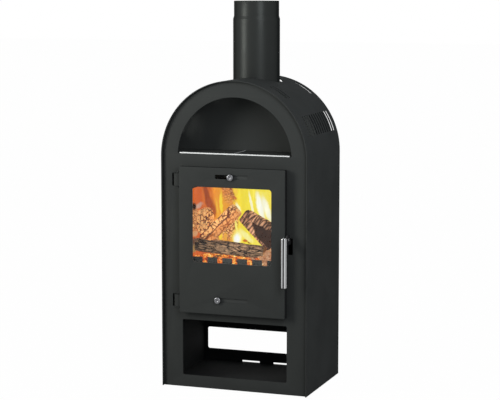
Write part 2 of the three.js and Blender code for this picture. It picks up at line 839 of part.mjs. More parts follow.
// Hinge arm, drawn round its pin: a half ring, a leg to the door and a spoke to the knuckle
function hingeArm() {
  const [outer, inner] = [hingeArmOuterRadius, hingeArmInnerRadius];
  const half = hingeArmHeight / 2;
  const ring = outlineOf([
    ...arc(0, 0, outer, 270, 90, smallSegments),
    ...arc(0, 0, inner, 90, 270, smallSegments),
  ]);
  const reach = -doorHalfWidth - gap - hingeAxisX;
  const leg = box([-gap, reach], [-outer, -inner], [-half, half]);
  const spoke = box([-hingeArmThickness, 0], [0, inner + hingeArmThickness / 2], [-half, half]);
  const arm = join(alongZ(ring, -half, half), leg, spoke, rod(knuckleRadius, -half, half));
  return cut(arm, rod(pinHoleRadius, -half - cutOver, half + cutOver));
}

function hingeLug() {
  const front = behindPlate - hingeAxisY;
  const outline = outlineOf([
    [-lugHalfWidth, front], [lugHalfWidth, front],
    ...arc(0, 0, lugHalfWidth, 0, 180, smallSegments / 2),
  ]);
  outline.holes.push(holeOf(circle(0, 0, pinHoleRadius)));
  return alongZ(outline, -lugThickness / 2, lugThickness / 2);
}

function hingePin() {
  const end = hingeArmHeight / 2 + gap + lugThickness + gap;
  return turned([
    [0, -end], [pinRadius, -end], [pinRadius, end], [pinHeadRadius, end],
    [pinHeadRadius, end + pinHeadThickness], [0, end + pinHeadThickness],
  ], smallSegments);
}

// Latch: a lever on the door's right side, with the handle at its front and a tongue at its back
function latchLever() {
  const [x0, x1] = [latchPivotX, latchPivotX + leverThickness];
  const [y, z] = [latchPivotY, latchPivotHeight];
  const grip = handleY + handleRadius + gap;
  const arm = outlineOf([
    [grip, leverGripBottom], [y, z - leverHubRadius + gap], [y, z + leverHubRadius - gap],
    [grip, leverGripTop],
  ]);
  const tongue = outlineOf(rounded([y, plateRear + tongueLength], [tongueBottom, tongueTop],
    tongueRadius));
  const hub = outlineOf(circle(y, z, leverHubRadius, smallSegments * 2));
  const hole = rod(boltHoleRadius, x0 - cutOver, x1 + cutOver).rotateY(Math.PI / 2).translate(0, y, z);
  return cut(join(alongX(hub, x0, x1), alongX(arm, x0, x1), alongX(tongue, x0, x1)), hole);
}

// The bolt points along X, with a collar between the door and the lever
function latchBolt() {
  const inside = doorHalfWidth - doorReturnWall;
  const [collarStart, collarEnd] = [doorHalfWidth + gap, latchPivotX - gap];
  const headStart = latchPivotX + leverThickness + gap;
  const headEnd = headStart + boltHeadThickness;
  return turned([
    [0, inside], [boltRadius, inside], [boltRadius, collarStart], [boltCollarRadius, collarStart],
    [boltCollarRadius, collarEnd], [boltRadius, collarEnd], [boltRadius, headStart],
    [boltHeadRadius, headStart], [boltHeadRadius, headEnd - boltHeadEdge],
    [boltHeadRadius - boltHeadEdge, headEnd], [0, headEnd],
  ], smallSegments).rotateY(Math.PI / 2);
}

function handleRod() {
  const inner = handleRadius - handleWall;
  return turned([
    [inner, handleBottom], [handleRadius, handleBottom], [handleRadius, handleTop],
    [inner, handleTop], [inner, handleBottom],
  ], smallSegments * 2);
}

function handlePlug(start) {
  return rod(handleRadius - handleWall - gap, start, start + handlePlugThickness, smallSegments * 2);
}

function latchKeeper() {
  const [bottom, front] = [tongueTop + gap, behindPlate];
  const outline = outlineOf([
    [front, bottom], [front + keeperReach, bottom], [front + keeperReach, bottom + keeperThickness],
    [front + keeperThickness, bottom + keeperThickness], [front + keeperThickness, bottom + keeperFoot],
    [front, bottom + keeperFoot],
  ]);
  const middle = latchPivotX + leverThickness / 2;
  return alongX(outline, middle - keeperHalfWidth, middle + keeperHalfWidth);
}

// Firewood: a round log lies along Z here and is turned into its place below
function roundLog(radius, length) {
  return rod(radius, -length / 2, length / 2, logSides);
}

function splitLog() {
  const length = Math.hypot(splitLogHigh[0] - splitLogLow[0], splitLogHigh[1] - splitLogLow[1]);
  const [h, d] = [splitLogHalfHeight, splitLogHalfDepth];
  const outline = outlineOf([[-h, -d], [h, -d / 2], [h, d], [-h, d]]);
  return alongZ(outline, -length / 2, length / 2);
}

// Scene graph: one group for the whole stove, and one for each thing that moves
const stove = new THREE.Group();
const door = new THREE.Group();
const latch = new THREE.Group();
const upperSlider = new THREE.Group();
const lowerSlider = new THREE.Group();
stove.add(door);
door.add(latch, upperSlider, lowerSlider);
upperSlider.position.set(upperKnobPlace, 0, upperSlotHeight);
lowerSlider.position.set(lowerKnobPlace, 0, lowerSlotHeight);

function add(group, name, geometry, finish) {
  const mesh = new THREE.Mesh(geometry, new THREE.MeshStandardMaterial(finishes[finish]));
  mesh.name = name;
  group.add(mesh);
  return mesh;
}

add(stove, 'outer_shell', outerShell(), 'blackSteel');
add(stove, 'front_plate', frontPlate(), 'blackSteel');
add(stove, 'base_plate', basePlate(), 'darkSheet');
add(stove, 'log_store_liner', logStoreLiner(), 'darkSheet');
add(stove, 'log_store_ceiling', logStoreCeiling(), 'darkSheet');
add(stove, 'rear_panel', rearPanel(), 'darkSheet');
add(stove, 'niche_floor', nicheFloor(), 'blackSteel');
add(stove, 'niche_back_plate', nicheBackPlate(), 'blackSteel');
add(stove, 'shelf_plate_left', shelfPlate(-1), 'blackSteel');
add(stove, 'shelf_plate_right', shelfPlate(1), 'blackSteel');
add(stove, 'shelf_trim_front', shelfTrimFront(), 'brightSteel');
add(stove, 'shelf_trim_centre', shelfTrimCentre(), 'brightSteel');
add(stove, 'firebox_body', fireboxBody(), 'castIron');
add(stove, 'flue_collar', flueCollar(), 'castIron').position.y = flueDepth;
add(stove, 'flue_pipe', fluePipe(), 'pipeSteel').position.y = flueDepth;
add(stove, 'hearth_plate', hearthPlate(), 'castIron');
add(stove, 'hearth_bed', hearthBed(), 'brick');
add(stove, 'grate', grate(), 'castIron');
add(stove, 'ash_pan', ashPan(), 'galvanised');
add(stove, 'brick_left', sideBrick(-1), 'brick');
add(stove, 'brick_right', sideBrick(1), 'brick');
add(stove, 'brick_back', backBrick(), 'brick');
add(stove, 'baffle_plate', bafflePlate(), 'brick');
add(stove, 'log_guard', logGuard(), 'castIron');
add(stove, 'latch_keeper', latchKeeper(), 'galvanised');

for (const [name, height] of [['upper', upperHingeHeight], ['lower', lowerHingeHeight]]) {
  add(door, `hinge_arm_${name}`, hingeArm(), 'blackSteel').position.set(hingeAxisX, hingeAxisY, height);
  add(stove, `hinge_pin_${name}`, hingePin(), 'galvanised').position.set(hingeAxisX, hingeAxisY, height);
  for (const [place, side] of [['top', 1], ['bottom', -1]]) {
    const offset = side * (hingeArmHeight / 2 + gap + lugThickness / 2);
    add(stove, `hinge_lug_${name}_${place}`, hingeLug(), 'castIron')
      .position.set(hingeAxisX, hingeAxisY, height + offset);
  }
}

add(door, 'door_panel', doorPanel(), 'blackSteel');
add(door, 'door_frame', doorFrame(), 'blackSteel');
add(door, 'door_glass', doorGlass(), 'glass');
add(door, 'glass_gasket', glassGasket(), 'seal');
add(door, 'seal_channel', sealRing(sealWidth, doorSkinRear + gap, doorSkinRear + gap + channelDepth,
  windowRadius), 'darkSheet');
add(door, 'door_rope_seal', sealRing(ropeWidth, doorSkinRear + gap + channelDepth + gap,
  plateFront - gap, windowRadius + ropeRadius / 2), 'seal');
const clipEdges = [
  ['top', windowHalfHeight + glassBorder, 0],
  ['right', windowHalfWidth + glassBorder, Math.PI / 2],
  ['bottom', windowHalfHeight + glassBorder, Math.PI],
  ['left', windowHalfWidth + glassBorder, -Math.PI / 2],
];
for (const [name, edge, turn] of clipEdges) {
  const clip = add(door, `glass_clip_${name}`, glassClip(edge), 'galvanised');
  clip.position.z = windowMiddle;
  clip.rotation.y = turn;
}
add(door, 'slider_guide_upper', sliderGuide(upperSlotHeight), 'darkSheet');
add(door, 'slider_guide_lower', sliderGuide(lowerSlotHeight), 'darkSheet');
add(door, 'latch_bolt', latchBolt(), 'brightSteel').position.set(0, latchPivotY, latchPivotHeight);

add(latch, 'latch_lever', latchLever(), 'castIron');
const handle = new THREE.Group();
handle.position.set(handleX, handleY, 0);
latch.add(handle);
add(handle, 'handle_rod', handleRod(), 'brightSteel');
add(handle, 'handle_plug_top', handlePlug(handleTop - handlePlugThickness - gap), 'blackPlug');
add(handle, 'handle_plug_bottom', handlePlug(handleBottom + gap), 'blackPlug');

add(upperSlider, 'air_slider_upper', airSlider(), 'darkSheet');
add(upperSlider, 'air_knob_upper', airKnob(), 'brightSteel');
add(lowerSlider, 'air_slider_lower', airSlider(), 'darkSheet');
add(lowerSlider, 'air_knob_lower', airKnob(), 'brightSteel');

// The bottom logs lie on the hearth; the split log leans on the right one, the front log lies on both
const bottomLogHeight = hearthTop + gap + bottomLogRadius;
const bottomLogLength = backBrickFront - bottomLogFront - bottomLogBackGap;
const bottomLeftLogX = fireHeight * bottomLogLeftShare - fireHalfWidth;
const splitLogTilt = Math.atan2(splitLogLow[0] - splitLogHigh[0], splitLogHigh[1] - splitLogLow[1]);
const bottomLogContact = splitLogHalfHeight + bottomLogRadius + gap;
const bottomRightLogX = splitLogHigh[0]
  + ((splitLogHigh[1] - bottomLogHeight) * Math.sin(splitLogTilt) - bottomLogContact)
  / Math.cos(splitLogTilt);
for (const [name, x] of [['left', bottomLeftLogX], ['right', bottomRightLogX]]) {
  const log = add(stove, `log_bottom_${name}`, roundLog(bottomLogRadius, bottomLogLength), 'bark');
  log.position.set(x, bottomLogFront + bottomLogLength / 2, bottomLogHeight);
  log.rotation.x = Math.PI / 2;
}

const frontLogLeft = fireHeight * frontLogLeftShare - fireHalfWidth;
const frontLogRight = fireHalfWidth - fireHeight * frontLogRightShare;
const frontLogHeight = bottomLogHeight + bottomLogRadius + gap + frontLogRadius;
const frontLog = add(stove, 'log_front', roundLog(frontLogRadius, frontLogRight - frontLogLeft), 'bark');
frontLog.position.set((frontLogLeft + frontLogRight) / 2, frontLogDepth, frontLogHeight);
frontLog.rotation.y = Math.PI / 2;

// The leaning log stands with its foot on the front log and carries the round one against the lining
const rise = THREE.MathUtils.degToRad(leaningLogRise);
const leaningLogFootX = fireHeight * leaningLogFootShare - fireHalfWidth;
const footHeight = frontLogHeight + frontLogRadius + gap + leaningLogRadius * Math.cos(rise);
const leaningLog = add(stove, 'log_leaning_left', roundLog(leaningLogRadius, leaningLogLength), 'bark');
leaningLog.position.set(leaningLogFootX + (leaningLogLength / 2) * Math.cos(rise), frontLogDepth,
  footHeight + (leaningLogLength / 2) * Math.sin(rise));
leaningLog.rotation.y = Math.PI / 2 - rise;

const roundLogX = roundLogRadius - fireHalfWidth;
const roundLogHeight = footHeight + (roundLogX - leaningLogFootX) * Math.tan(rise)
  + (leaningLogRadius + gap + roundLogRadius) / Math.cos(rise);
const endLog = add(stove, 'log_round_end', roundLog(roundLogRadius, roundLogLength), 'bark');
endLog.position.set(roundLogX, roundLogFront + roundLogLength / 2, roundLogHeight);
endLog.rotation.x = Math.PI / 2;

const plank = add(stove, 'log_leaning_right', splitLog(), 'bark');
plank.position.set((splitLogLow[0] + splitLogHigh[0]) / 2,
  frontLogDepth + frontLogRadius + gap + splitLogHalfDepth, (splitLogLow[1] + splitLogHigh[1]) / 2);
plank.rotation.y = -splitLogTilt;

stove.position.y = -bodyDepth / 2;

export default stove;
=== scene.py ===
"""Arch-topped wood stove: fine shapes, finishes, the fire behind its glass, light and camera."""

import json
import logging
import math
from dataclasses import dataclass
from enum import Enum
from typing import Any, Optional, Sequence, Union

import bmesh
import bpy
from mathutils import Matrix, Vector, noise

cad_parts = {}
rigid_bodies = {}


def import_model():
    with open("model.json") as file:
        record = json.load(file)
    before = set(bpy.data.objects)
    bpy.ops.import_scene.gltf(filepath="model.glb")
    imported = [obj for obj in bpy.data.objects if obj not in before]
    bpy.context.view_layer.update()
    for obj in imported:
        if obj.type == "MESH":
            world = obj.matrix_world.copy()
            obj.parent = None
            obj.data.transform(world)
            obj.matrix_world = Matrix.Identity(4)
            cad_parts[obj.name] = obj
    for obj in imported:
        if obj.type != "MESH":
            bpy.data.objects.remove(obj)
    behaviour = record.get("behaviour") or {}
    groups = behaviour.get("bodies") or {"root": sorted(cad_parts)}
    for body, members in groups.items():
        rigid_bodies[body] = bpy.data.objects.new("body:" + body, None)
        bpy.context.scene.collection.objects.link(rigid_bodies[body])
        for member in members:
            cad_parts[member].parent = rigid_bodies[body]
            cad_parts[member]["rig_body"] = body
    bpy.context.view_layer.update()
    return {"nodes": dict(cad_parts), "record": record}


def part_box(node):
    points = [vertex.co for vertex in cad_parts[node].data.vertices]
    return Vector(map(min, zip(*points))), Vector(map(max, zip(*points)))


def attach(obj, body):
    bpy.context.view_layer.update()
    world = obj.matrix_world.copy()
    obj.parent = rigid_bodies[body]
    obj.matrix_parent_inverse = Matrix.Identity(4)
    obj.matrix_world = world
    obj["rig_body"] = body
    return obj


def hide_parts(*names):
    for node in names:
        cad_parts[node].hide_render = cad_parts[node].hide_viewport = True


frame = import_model()

log = logging.getLogger("wood_stove")
logging.basicConfig(level=logging.INFO, format="%(name)s: %(message)s")

Colour = tuple[float, float, float, float]
Stops = Sequence[tuple[float, Colour]]
Point = tuple[float, float]
Spot = tuple[float, float, float]
Rectangle = tuple[float, float, float, float]
Piece = bpy.types.Object
Material = bpy.types.Material
Socket = bpy.types.NodeSocket
Layer = bmesh.types.BMLayerItem
BMesh = bmesh.types.BMesh
Value = Union[Socket, float, int, bool, Sequence[float], Material]

MM = 0.001
LIP_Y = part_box("outer_shell")[0].y
SMOOTH_ANGLE = math.radians(32)
PLATE_ANGLE = math.radians(40)
FLAT_ANGLE = math.radians(0.6)
WELD = 2e-6


def place(x: float, y: float, z: float) -> Vector:
    """Turns a place in millimetres, with Y counted from the casing's front edge, into the scene's metres.

    Args:
        x: Millimetres to the right of the middle.
        y: Millimetres behind the casing's front edge.
        z: Millimetres above the floor.

    Returns:
        The place in the row frame, in metres.
    """
    return Vector((x * MM, y * MM + LIP_Y, z * MM))


def screen(red: int, green: int, blue: int) -> Colour:
    """Turns a colour in screen values into the linear values that the nodes take.

    Args:
        red: Red from 0 to 255.
        green: Green from 0 to 255.
        blue: Blue from 0 to 255.

    Returns:
        The linear colour with an alpha of one.
    """
    parts = [part / 255 for part in (red, green, blue)]
    linear = [part / 12.92 if part <= 0.04045 else ((part + 0.055) / 1.055) ** 2.4 for part in parts]
    return (linear[0], linear[1], linear[2], 1.0)


class Slot(Enum):
    """The record's material slots, by what they are made of."""

    BLACK_STEEL = "black_steel"
    PIPE_STEEL = "pipe_steel"
    DARK_SHEET = "dark_sheet"
    CAST_IRON = "cast_iron"
    BRIGHT_STEEL = "bright_steel"
    BLACK_PLUG = "black_plug"
    GLASS = "glass"
    SEAL = "seal"
    FIRE_BRICK = "fire_brick"
    GALVANISED = "galvanised"
    BARK = "bark"


class Body(Enum):
    """The bodies that a piece can ride on."""

    STOVE = "stove"
    DOOR = "door"
    LATCH = "latch"
    UPPER_SLIDER = "upper_slider"
    LOWER_SLIDER = "lower_slider"


def tinted(colour: Colour, factor: float) -> Colour:
    """Gives a colour that is lighter or darker by a factor."""
    return (colour[0] * factor, colour[1] * factor, colour[2] * factor, 1.0)


def clamp(value: float, low: float = 0.0, high: float = 1.0) -> float:
    """Keeps a value between two others."""
    return max(low, min(high, value))


class NodeTree:
    """What a material's tree and a geometry tree share: adding nodes and doing sums."""

    tree: bpy.types.NodeTree

    def add(self, kind: str, inputs: Optional[dict[Any, Value]] = None, **settings: Any) -> bpy.types.Node:
        """Adds a node.

        Args:
            kind: The node's type.
            inputs: Values or sockets for its inputs, by name or number.
            **settings: The node's own properties.

        Returns:
            The node.
        """
        node = self.tree.nodes.new(kind)
        for key, value in settings.items():
            setattr(node, key, value)
        for key, value in (inputs or {}).items():
            if isinstance(value, Socket):
                self.tree.links.new(value, node.inputs[key])
            else:
                node.inputs[key].default_value = value
        return node

    def out(self, kind: str, inputs: Optional[dict[Any, Value]] = None, **settings: Any) -> Socket:
        """Adds a node as add does, and gives its first output."""
        return self.add(kind, inputs, **settings).outputs[0]

    def calc(self, kind: str, first: Value, second: Value = 0.0) -> Socket:
        """Gives the result of one operation on two values."""
        return self.out("ShaderNodeMath", {0: first, 1: second}, operation=kind)

    def plus(self, first: Value, second: Value) -> Socket:
        """Adds two values."""
        return self.calc("ADD", first, second)

    def times(self, first: Value, second: Value) -> Socket:
        """Multiplies two values."""
        return self.calc("MULTIPLY", first, second)

    def calc_vector(self, kind: str, first: Value, second: Value) -> Socket:
        """Gives the vector that one operation makes of two vectors."""
        return self.out("ShaderNodeVectorMath", {0: first, 1: second}, operation=kind)

    def scaled(self, vector: Socket, factor: Value) -> Socket:
        """Scales a vector or a colour by a value."""
        return self.out("ShaderNodeVectorMath", {0: vector, "Scale": factor}, operation="SCALE")

    def parts(self, vector: Socket) -> bpy.types.NodeOutputs:
        """Splits a vector into its three values."""
        return self.add("ShaderNodeSeparateXYZ", {0: vector}).outputs


class Recipe(NodeTree):
    """Builds one material's node tree."""

    def __init__(self, name: str) -> None:
        """Starts an empty tree.

        Args:
            name: The material's name.
        """
        self.material = bpy.data.materials.new(name)
        self.material.use_nodes = True
        self.tree = self.material.node_tree
        self.tree.nodes.clear()
        self.output = self.tree.nodes.new("ShaderNodeOutputMaterial")

    def place(self, scale: Sequence[float] = (1, 1, 1), shift: Sequence[float] = (0, 0, 0)) -> Socket:
        """Gives the piece's own coordinates, scaled and shifted.

        Args:
            scale: Scale along each axis.
            shift: Shift along each axis, in metres, before the scale.

        Returns:
            The vector socket.
        """
        moved = self.calc_vector("ADD", self.add("ShaderNodeTexCoord").outputs["Object"], tuple(shift))
        return self.calc_vector("MULTIPLY", moved, tuple(scale))

    def grown(self, name: str, scale: Sequence[float] = (1, 1, 1)) -> Socket:
        """Gives a UV map of the piece, scaled.

        Args:
            name: The UV map's name.
            scale: Scale along each axis.

        Returns:
            The vector socket.
        """
        source = self.out("ShaderNodeUVMap", uv_map=name)
        return self.calc_vector("MULTIPLY", source, tuple(scale))

    def noise(self, vector: Socket, scale: float, detail: float = 4, roughness: float = 0.55,
              distortion: float = 0) -> Socket:
        """Gives a noise between 0 and 1.

        Args:
            vector: Where it is read.
            scale: Its scale.
            detail: Its octaves.
            roughness: How strong the finer octaves are.
            distortion: How far it is swirled.

        Returns:
            The noise's value.
        """
        return self.out("ShaderNodeTexNoise", {
            "Vector": vector, "Scale": scale, "Detail": detail, "Roughness": roughness,
            "Distortion": distortion})

    def cells(self, vector: Socket, scale: float, feature: str = "DISTANCE_TO_EDGE",
              randomness: float = 1.0) -> Socket:
        """Gives a Voronoi distance, such as the distance to the nearest crack between two cells.

        Args:
            vector: Where it is read.
            scale: Its scale.
            feature: Which distance.
            randomness: How irregular the cells are.

        Returns:
            The distance.
        """
        return self.add("ShaderNodeTexVoronoi", {
            "Vector": vector, "Scale": scale, "Randomness": randomness}, feature=feature).outputs["Distance"]

    def ramp(self, factor: Socket, stops: Stops) -> Socket:
        """Turns a value into a colour.

        Args:
            factor: The value.
            stops: Places from 0 to 1 and their colours.

        Returns:
            The colour.
        """
        node = self.add("ShaderNodeValToRGB", {"Fac": factor})
        band = node.color_ramp
        while len(band.elements) < len(stops):
            band.elements.new(0.5)
        for element, (position, colour) in zip(band.elements, stops):
            element.position = position
            element.color = colour
        return node.outputs["Color"]

    def span(self, value: Value, low: float, high: float, start: float = 0.0, end: float = 1.0) -> Socket:
        """Maps a range smoothly to another one.

        Args:
            value: What is mapped.
            low: The value that gives start.
            high: The value that gives end.
            start: The result at low.
            end: The result at high.

        Returns:
            The mapped value.
        """
        return self.out("ShaderNodeMapRange", {
            "Value": value, "From Min": low, "From Max": high, "To Min": start, "To Max": end},
            interpolation_type="SMOOTHSTEP")

    def blend(self, factor: Value, first: Value, second: Value) -> Socket:
        """Mixes two colours.

        Args:
            factor: How much of the second colour.
            first: The first colour.
            second: The second colour.

        Returns:
            The mixed colour.
        """
        return self.add("ShaderNodeMix", {0: factor, 6: first, 7: second}, data_type="RGBA").outputs[2]

    def bump(self, height: Socket, strength: float, distance: float) -> Socket:
        """Turns a height into a normal.

        Args:
            height: The height from 0 to 1.
            strength: How strong it is.
            distance: How high a height of 1 stands, in metres.

        Returns:
            The normal.
        """
        return self.out("ShaderNodeBump", {"Height": height, "Strength": strength, "Distance": distance})

    def surface(self, **values: Value) -> Material:
        """Ends the tree in a Principled shader.

        Args:
            **values: Its inputs, with underscores for the spaces in their names.

        Returns:
            The finished material.
        """
        inputs = {key.replace("_", " "): value for key, value in values.items()}
        return self.close(self.add("ShaderNodeBsdfPrincipled", inputs))

    def close(self, shader: bpy.types.Node) -> Material:
        """Links the last shader to the output and gives the material."""
        self.tree.links.new(shader.outputs[0], self.output.inputs["Surface"])
        return self.material


@dataclass(frozen=True)
class StovePaint:
    """Heat resistant satin paint, sprayed on steel: a fine skin, faint clouds, a low sheen and painted shade
    that darkens it towards the bottom.
    """

    name: str = "stove_paint"
    colour: Colour = screen(59, 61, 60)
    cloud: float = 0.05
    roughness: float = 0.62
    gloss: float = 0.005
    skin: float = 0.10
    painted_bottom_shade: float = 0.22
    metal: float = 0.0

    def material(self) -> Material:
        """Builds the material.

        Returns:
            The finished material.
        """
        recipe = Recipe(self.name)
        clouds = recipe.noise(recipe.place(), 7.0, 3)
        fine = recipe.noise(recipe.place(), 900.0, 2)
        low, high = tinted(self.colour, 1 - self.cloud), tinted(self.colour, 1 + self.cloud)
        colour = recipe.ramp(clouds, [(0.3, low), (0.7, high)])
        # Painted shade: the colour is scaled darker towards the bottom, standing in for the lamps' light
        # falling off lower down.
        height = recipe.parts(recipe.place())["Z"]
        heat = recipe.span(height, 0.0, 1.1, 1.0 - self.painted_bottom_shade, 1.0)
        colour = recipe.scaled(colour, heat)
        rough = recipe.span(clouds, 0.3, 0.7, self.roughness + 0.05, self.roughness - 0.05)
        skin = recipe.bump(fine, self.skin, 0.0002)
        return recipe.surface(Base_Color=colour, Roughness=rough, Specular_IOR_Level=self.gloss,
                              Specular_Tint=(0.1, 0.1, 0.1, 1), Metallic=self.metal, Normal=skin)


@dataclass(frozen=True)
class MattSheet:
    """Thin sheet with a matt black coat, as inside the log store and behind the door."""

    name: str = "matt_sheet"
    colour: Colour = screen(26, 27, 27)
    roughness: float = 0.8

    def material(self) -> Material:
        """Builds the material.

        Returns:
            The finished material.
        """
        recipe = Recipe(self.name)
        dust = recipe.noise(recipe.place(), 14.0, 5, 0.65)
        scuffs = recipe.noise(recipe.place((1, 0.15, 1)), 90.0, 3)
        tone = recipe.plus(recipe.times(dust, 0.7), recipe.times(scuffs, 0.3))
        pale = tinted(self.colour, 1.5)
        colour = recipe.ramp(tone, [(0.35, self.colour), (0.75, pale)])
        return recipe.surface(Base_Color=colour, Roughness=self.roughness, Specular_IOR_Level=0.08,
                              Normal=recipe.bump(dust, 0.15, 0.0004))


@dataclass(frozen=True)
class CastIron:
    """Cast iron with the pitted skin of a sand mould."""

    name: str = "cast_iron"
    colour: Colour = screen(58, 60, 60)
    roughness: float = 0.7

    def material(self) -> Material:
        """Builds the material.

        Returns:
            The finished material.
        """
        recipe = Recipe(self.name)
        pits = recipe.noise(recipe.place(), 420.0, 4, 0.7)
        clouds = recipe.noise(recipe.place(), 26.0, 3)
        dark = tinted(self.colour, 0.7)
        colour = recipe.ramp(clouds, [(0.3, dark), (0.7, self.colour)])
        return recipe.surface(Base_Color=colour, Roughness=self.roughness, Specular_IOR_Level=0.15,
                              Normal=recipe.bump(pits, 0.35, 0.0005))


@dataclass(frozen=True)
class TurnedSteel:
    """Stainless steel, turned on a lathe and a little worn."""

    name: str = "turned_steel"
    colour: Colour = screen(116, 117, 120)
    roughness: float = 0.24

    def material(self) -> Material:
        """Builds the material.

        Returns:
            The finished material.
        """
        recipe = Recipe(self.name)
        wear_and_sheen = recipe.noise(recipe.place(), 170.0, 3)
        dark = tinted(self.colour, 0.7)
        colour = recipe.ramp(wear_and_sheen, [(0.35, dark), (0.65, self.colour)])
        rough = recipe.span(wear_and_sheen, 0.3, 0.7, self.roughness - 0.03, self.roughness + 0.05)
        return recipe.surface(Base_Color=colour, Metallic=1.0, Roughness=rough)


@dataclass(frozen=True)
class BrushedSteel:
    """Stainless tube, ground along its length, with painted reflections: bright bands and a dark band set by
    the angle round its axis.
    """

    name: str = "brushed_steel_painted_reflections"
    colour: Colour = screen(196, 197, 198)
    roughness: float = 0.20
    stroke: Spot = (1.0, 1.0, 0.02)
    stroke_scale: float = 1500.0
    middle: Point = (188.3, -43.6)
    painted_reflection_bands: Sequence[tuple[float, float]] = (
        (0.00, 0.50), (0.12, 0.80), (0.25, 0.50), (0.34, 0.50), (0.42, 0.84), (0.475, 0.80), (0.488, 0.03),
        (0.552, 0.02), (0.564, 1.04), (0.586, 1.04), (0.625, 0.60), (0.66, 0.58), (0.71, 0.92), (1.00, 0.50))

    def material(self) -> Material:
        """Builds the material.

        Returns:
            The finished material.
        """
        recipe = Recipe(self.name)
        strokes = recipe.noise(recipe.place(self.stroke), self.stroke_scale, 3, 0.6)
        wear_and_sheen = recipe.noise(recipe.place(), 60.0, 3)
        # Painted reflection: the colour follows the angle round the tube, with bright bands and a dark band
        # standing in for the lamps and surroundings seen in the polished steel.
        centre = place(self.middle[0], self.middle[1], 0)
        parts = recipe.parts(recipe.place((1, 1, 1), (-centre.x, -centre.y, 0)))
        turn = recipe.calc("ARCTAN2", parts["X"], recipe.times(parts["Y"], -1.0))
        share = recipe.plus(recipe.calc("DIVIDE", turn, 2 * math.pi), 0.5)
        share = recipe.plus(share, recipe.span(strokes, 0.3, 0.7, -0.004, 0.004))
        stops = [(at, tinted(self.colour, tone)) for at, tone in self.painted_reflection_bands]
        colour = recipe.ramp(share, stops)
        rough = recipe.span(wear_and_sheen, 0.3, 0.7, self.roughness - 0.03, self.roughness + 0.04)
        return recipe.surface(Base_Color=colour, Metallic=1.0, Roughness=rough)


@dataclass(frozen=True)
class PaintedHighlightEdge:
    """Steel trim in a pale, even colour: a painted highlight for the light caught along the shelf's edges."""

    name: str = "painted_highlight_edge"
    colour: Colour = screen(226, 228, 228)

    def material(self) -> Material:
        """Builds the material.

        Returns:
            The finished material.
        """
        recipe = Recipe(self.name)
        # Painted highlight: the pale colour, varied along the strip, stands in for light caught on the edges.
        wear_and_sheen = recipe.noise(recipe.place((1, 0.1, 0.1)), 160.0, 3)
        dark = tinted(self.colour, 0.8)
        colour = recipe.ramp(wear_and_sheen, [(0.3, dark), (0.6, self.colour)])
        return recipe.surface(Base_Color=colour, Metallic=0.2, Roughness=0.45, Specular_IOR_Level=0.4)


@dataclass(frozen=True)
class ZincPlate:
    """Zinc plate with its flower pattern, dulled by heat."""

    name: str = "zinc_plate"
    colour: Colour = screen(128, 131, 134)

    def material(self) -> Material:
        """Builds the material.

        Returns:
            The finished material.
        """
        recipe = Recipe(self.name)
        flowers = recipe.add("ShaderNodeTexVoronoi", {
            "Vector": recipe.place(), "Scale": 160.0}).outputs["Color"]
        dark = tinted(self.colour, 0.6)
        colour = recipe.ramp(flowers, [(0.2, dark), (0.8, self.colour)])
        rough = recipe.span(flowers, 0.0, 1.0, 0.35, 0.55)
        return recipe.surface(Base_Color=colour, Metallic=0.9, Roughness=rough)


@dataclass(frozen=True)
class BlackPlug:
    """Moulded black plastic, slightly sparkly from the mould."""

    name: str = "black_plug"
    colour: Colour = screen(34, 34, 35)

    def material(self) -> Material:
        """Builds the material.

        Returns:
            The finished material.
        """
        recipe = Recipe(self.name)
        grain = recipe.noise(recipe.place(), 1400.0, 2)
        pale = tinted(self.colour, 1.3)
        colour = recipe.ramp(grain, [(0.3, self.colour), (0.7, pale)])
        return recipe.surface(Base_Color=colour, Roughness=0.5, Specular_IOR_Level=0.2,
                              Normal=recipe.bump(grain, 0.2, 0.0001))


@dataclass(frozen=True)
class ClearGlass:
    """Heat proof glass ceramic: clear, with a weak reflection and a faint haze of soot."""

    name: str = "clear_glass"
    reflection: float = 0.35

    def material(self) -> Material:
        """Builds the material.

        Returns:
            The finished material.
        """
        recipe = Recipe(self.name)
        fresnel = recipe.out("ShaderNodeFresnel", {"IOR": 1.45})
        haze = recipe.noise(recipe.place(), 9.0, 4)
        sheen = recipe.span(haze, 0.2, 0.8, self.reflection, self.reflection * 1.3)
        share = recipe.times(fresnel, sheen)
        clear = recipe.add("ShaderNodeBsdfTransparent", {"Color": (0.985, 0.99, 0.985, 1)})
        gloss = recipe.add("ShaderNodeBsdfGlossy", {"Color": (1, 1, 1, 1), "Roughness": 0.03})
        mixed = recipe.add("ShaderNodeMixShader", {0: share, 1: clear.outputs[0], 2: gloss.outputs[0]})
        return recipe.close(mixed)


@dataclass(frozen=True)
class FibreRope:
    """Twisted glass fibre, grey-white and greyer where it is pressed."""

    name: str = "fibre_rope"
    colour: Colour = screen(150, 148, 142)
    shade: Colour = screen(84, 82, 78)

    def material(self) -> Material:
        """Builds the material.

        Returns:
            The finished material.
        """
        recipe = Recipe(self.name)
        threads = recipe.noise(recipe.place(), 1500.0, 3, 0.7)
        soot = recipe.noise(recipe.place(), 22.0, 4)
        tone = recipe.times(threads, recipe.span(soot, 0.2, 0.8, 0.7, 1.25))
        colour = recipe.ramp(tone, [(0.3, self.shade), (0.65, self.colour)])
        return recipe.surface(Base_Color=colour, Roughness=0.95, Sheen_Weight=0.3, Specular_IOR_Level=0.1,
                              Normal=recipe.bump(threads, 0.5, 0.0006))


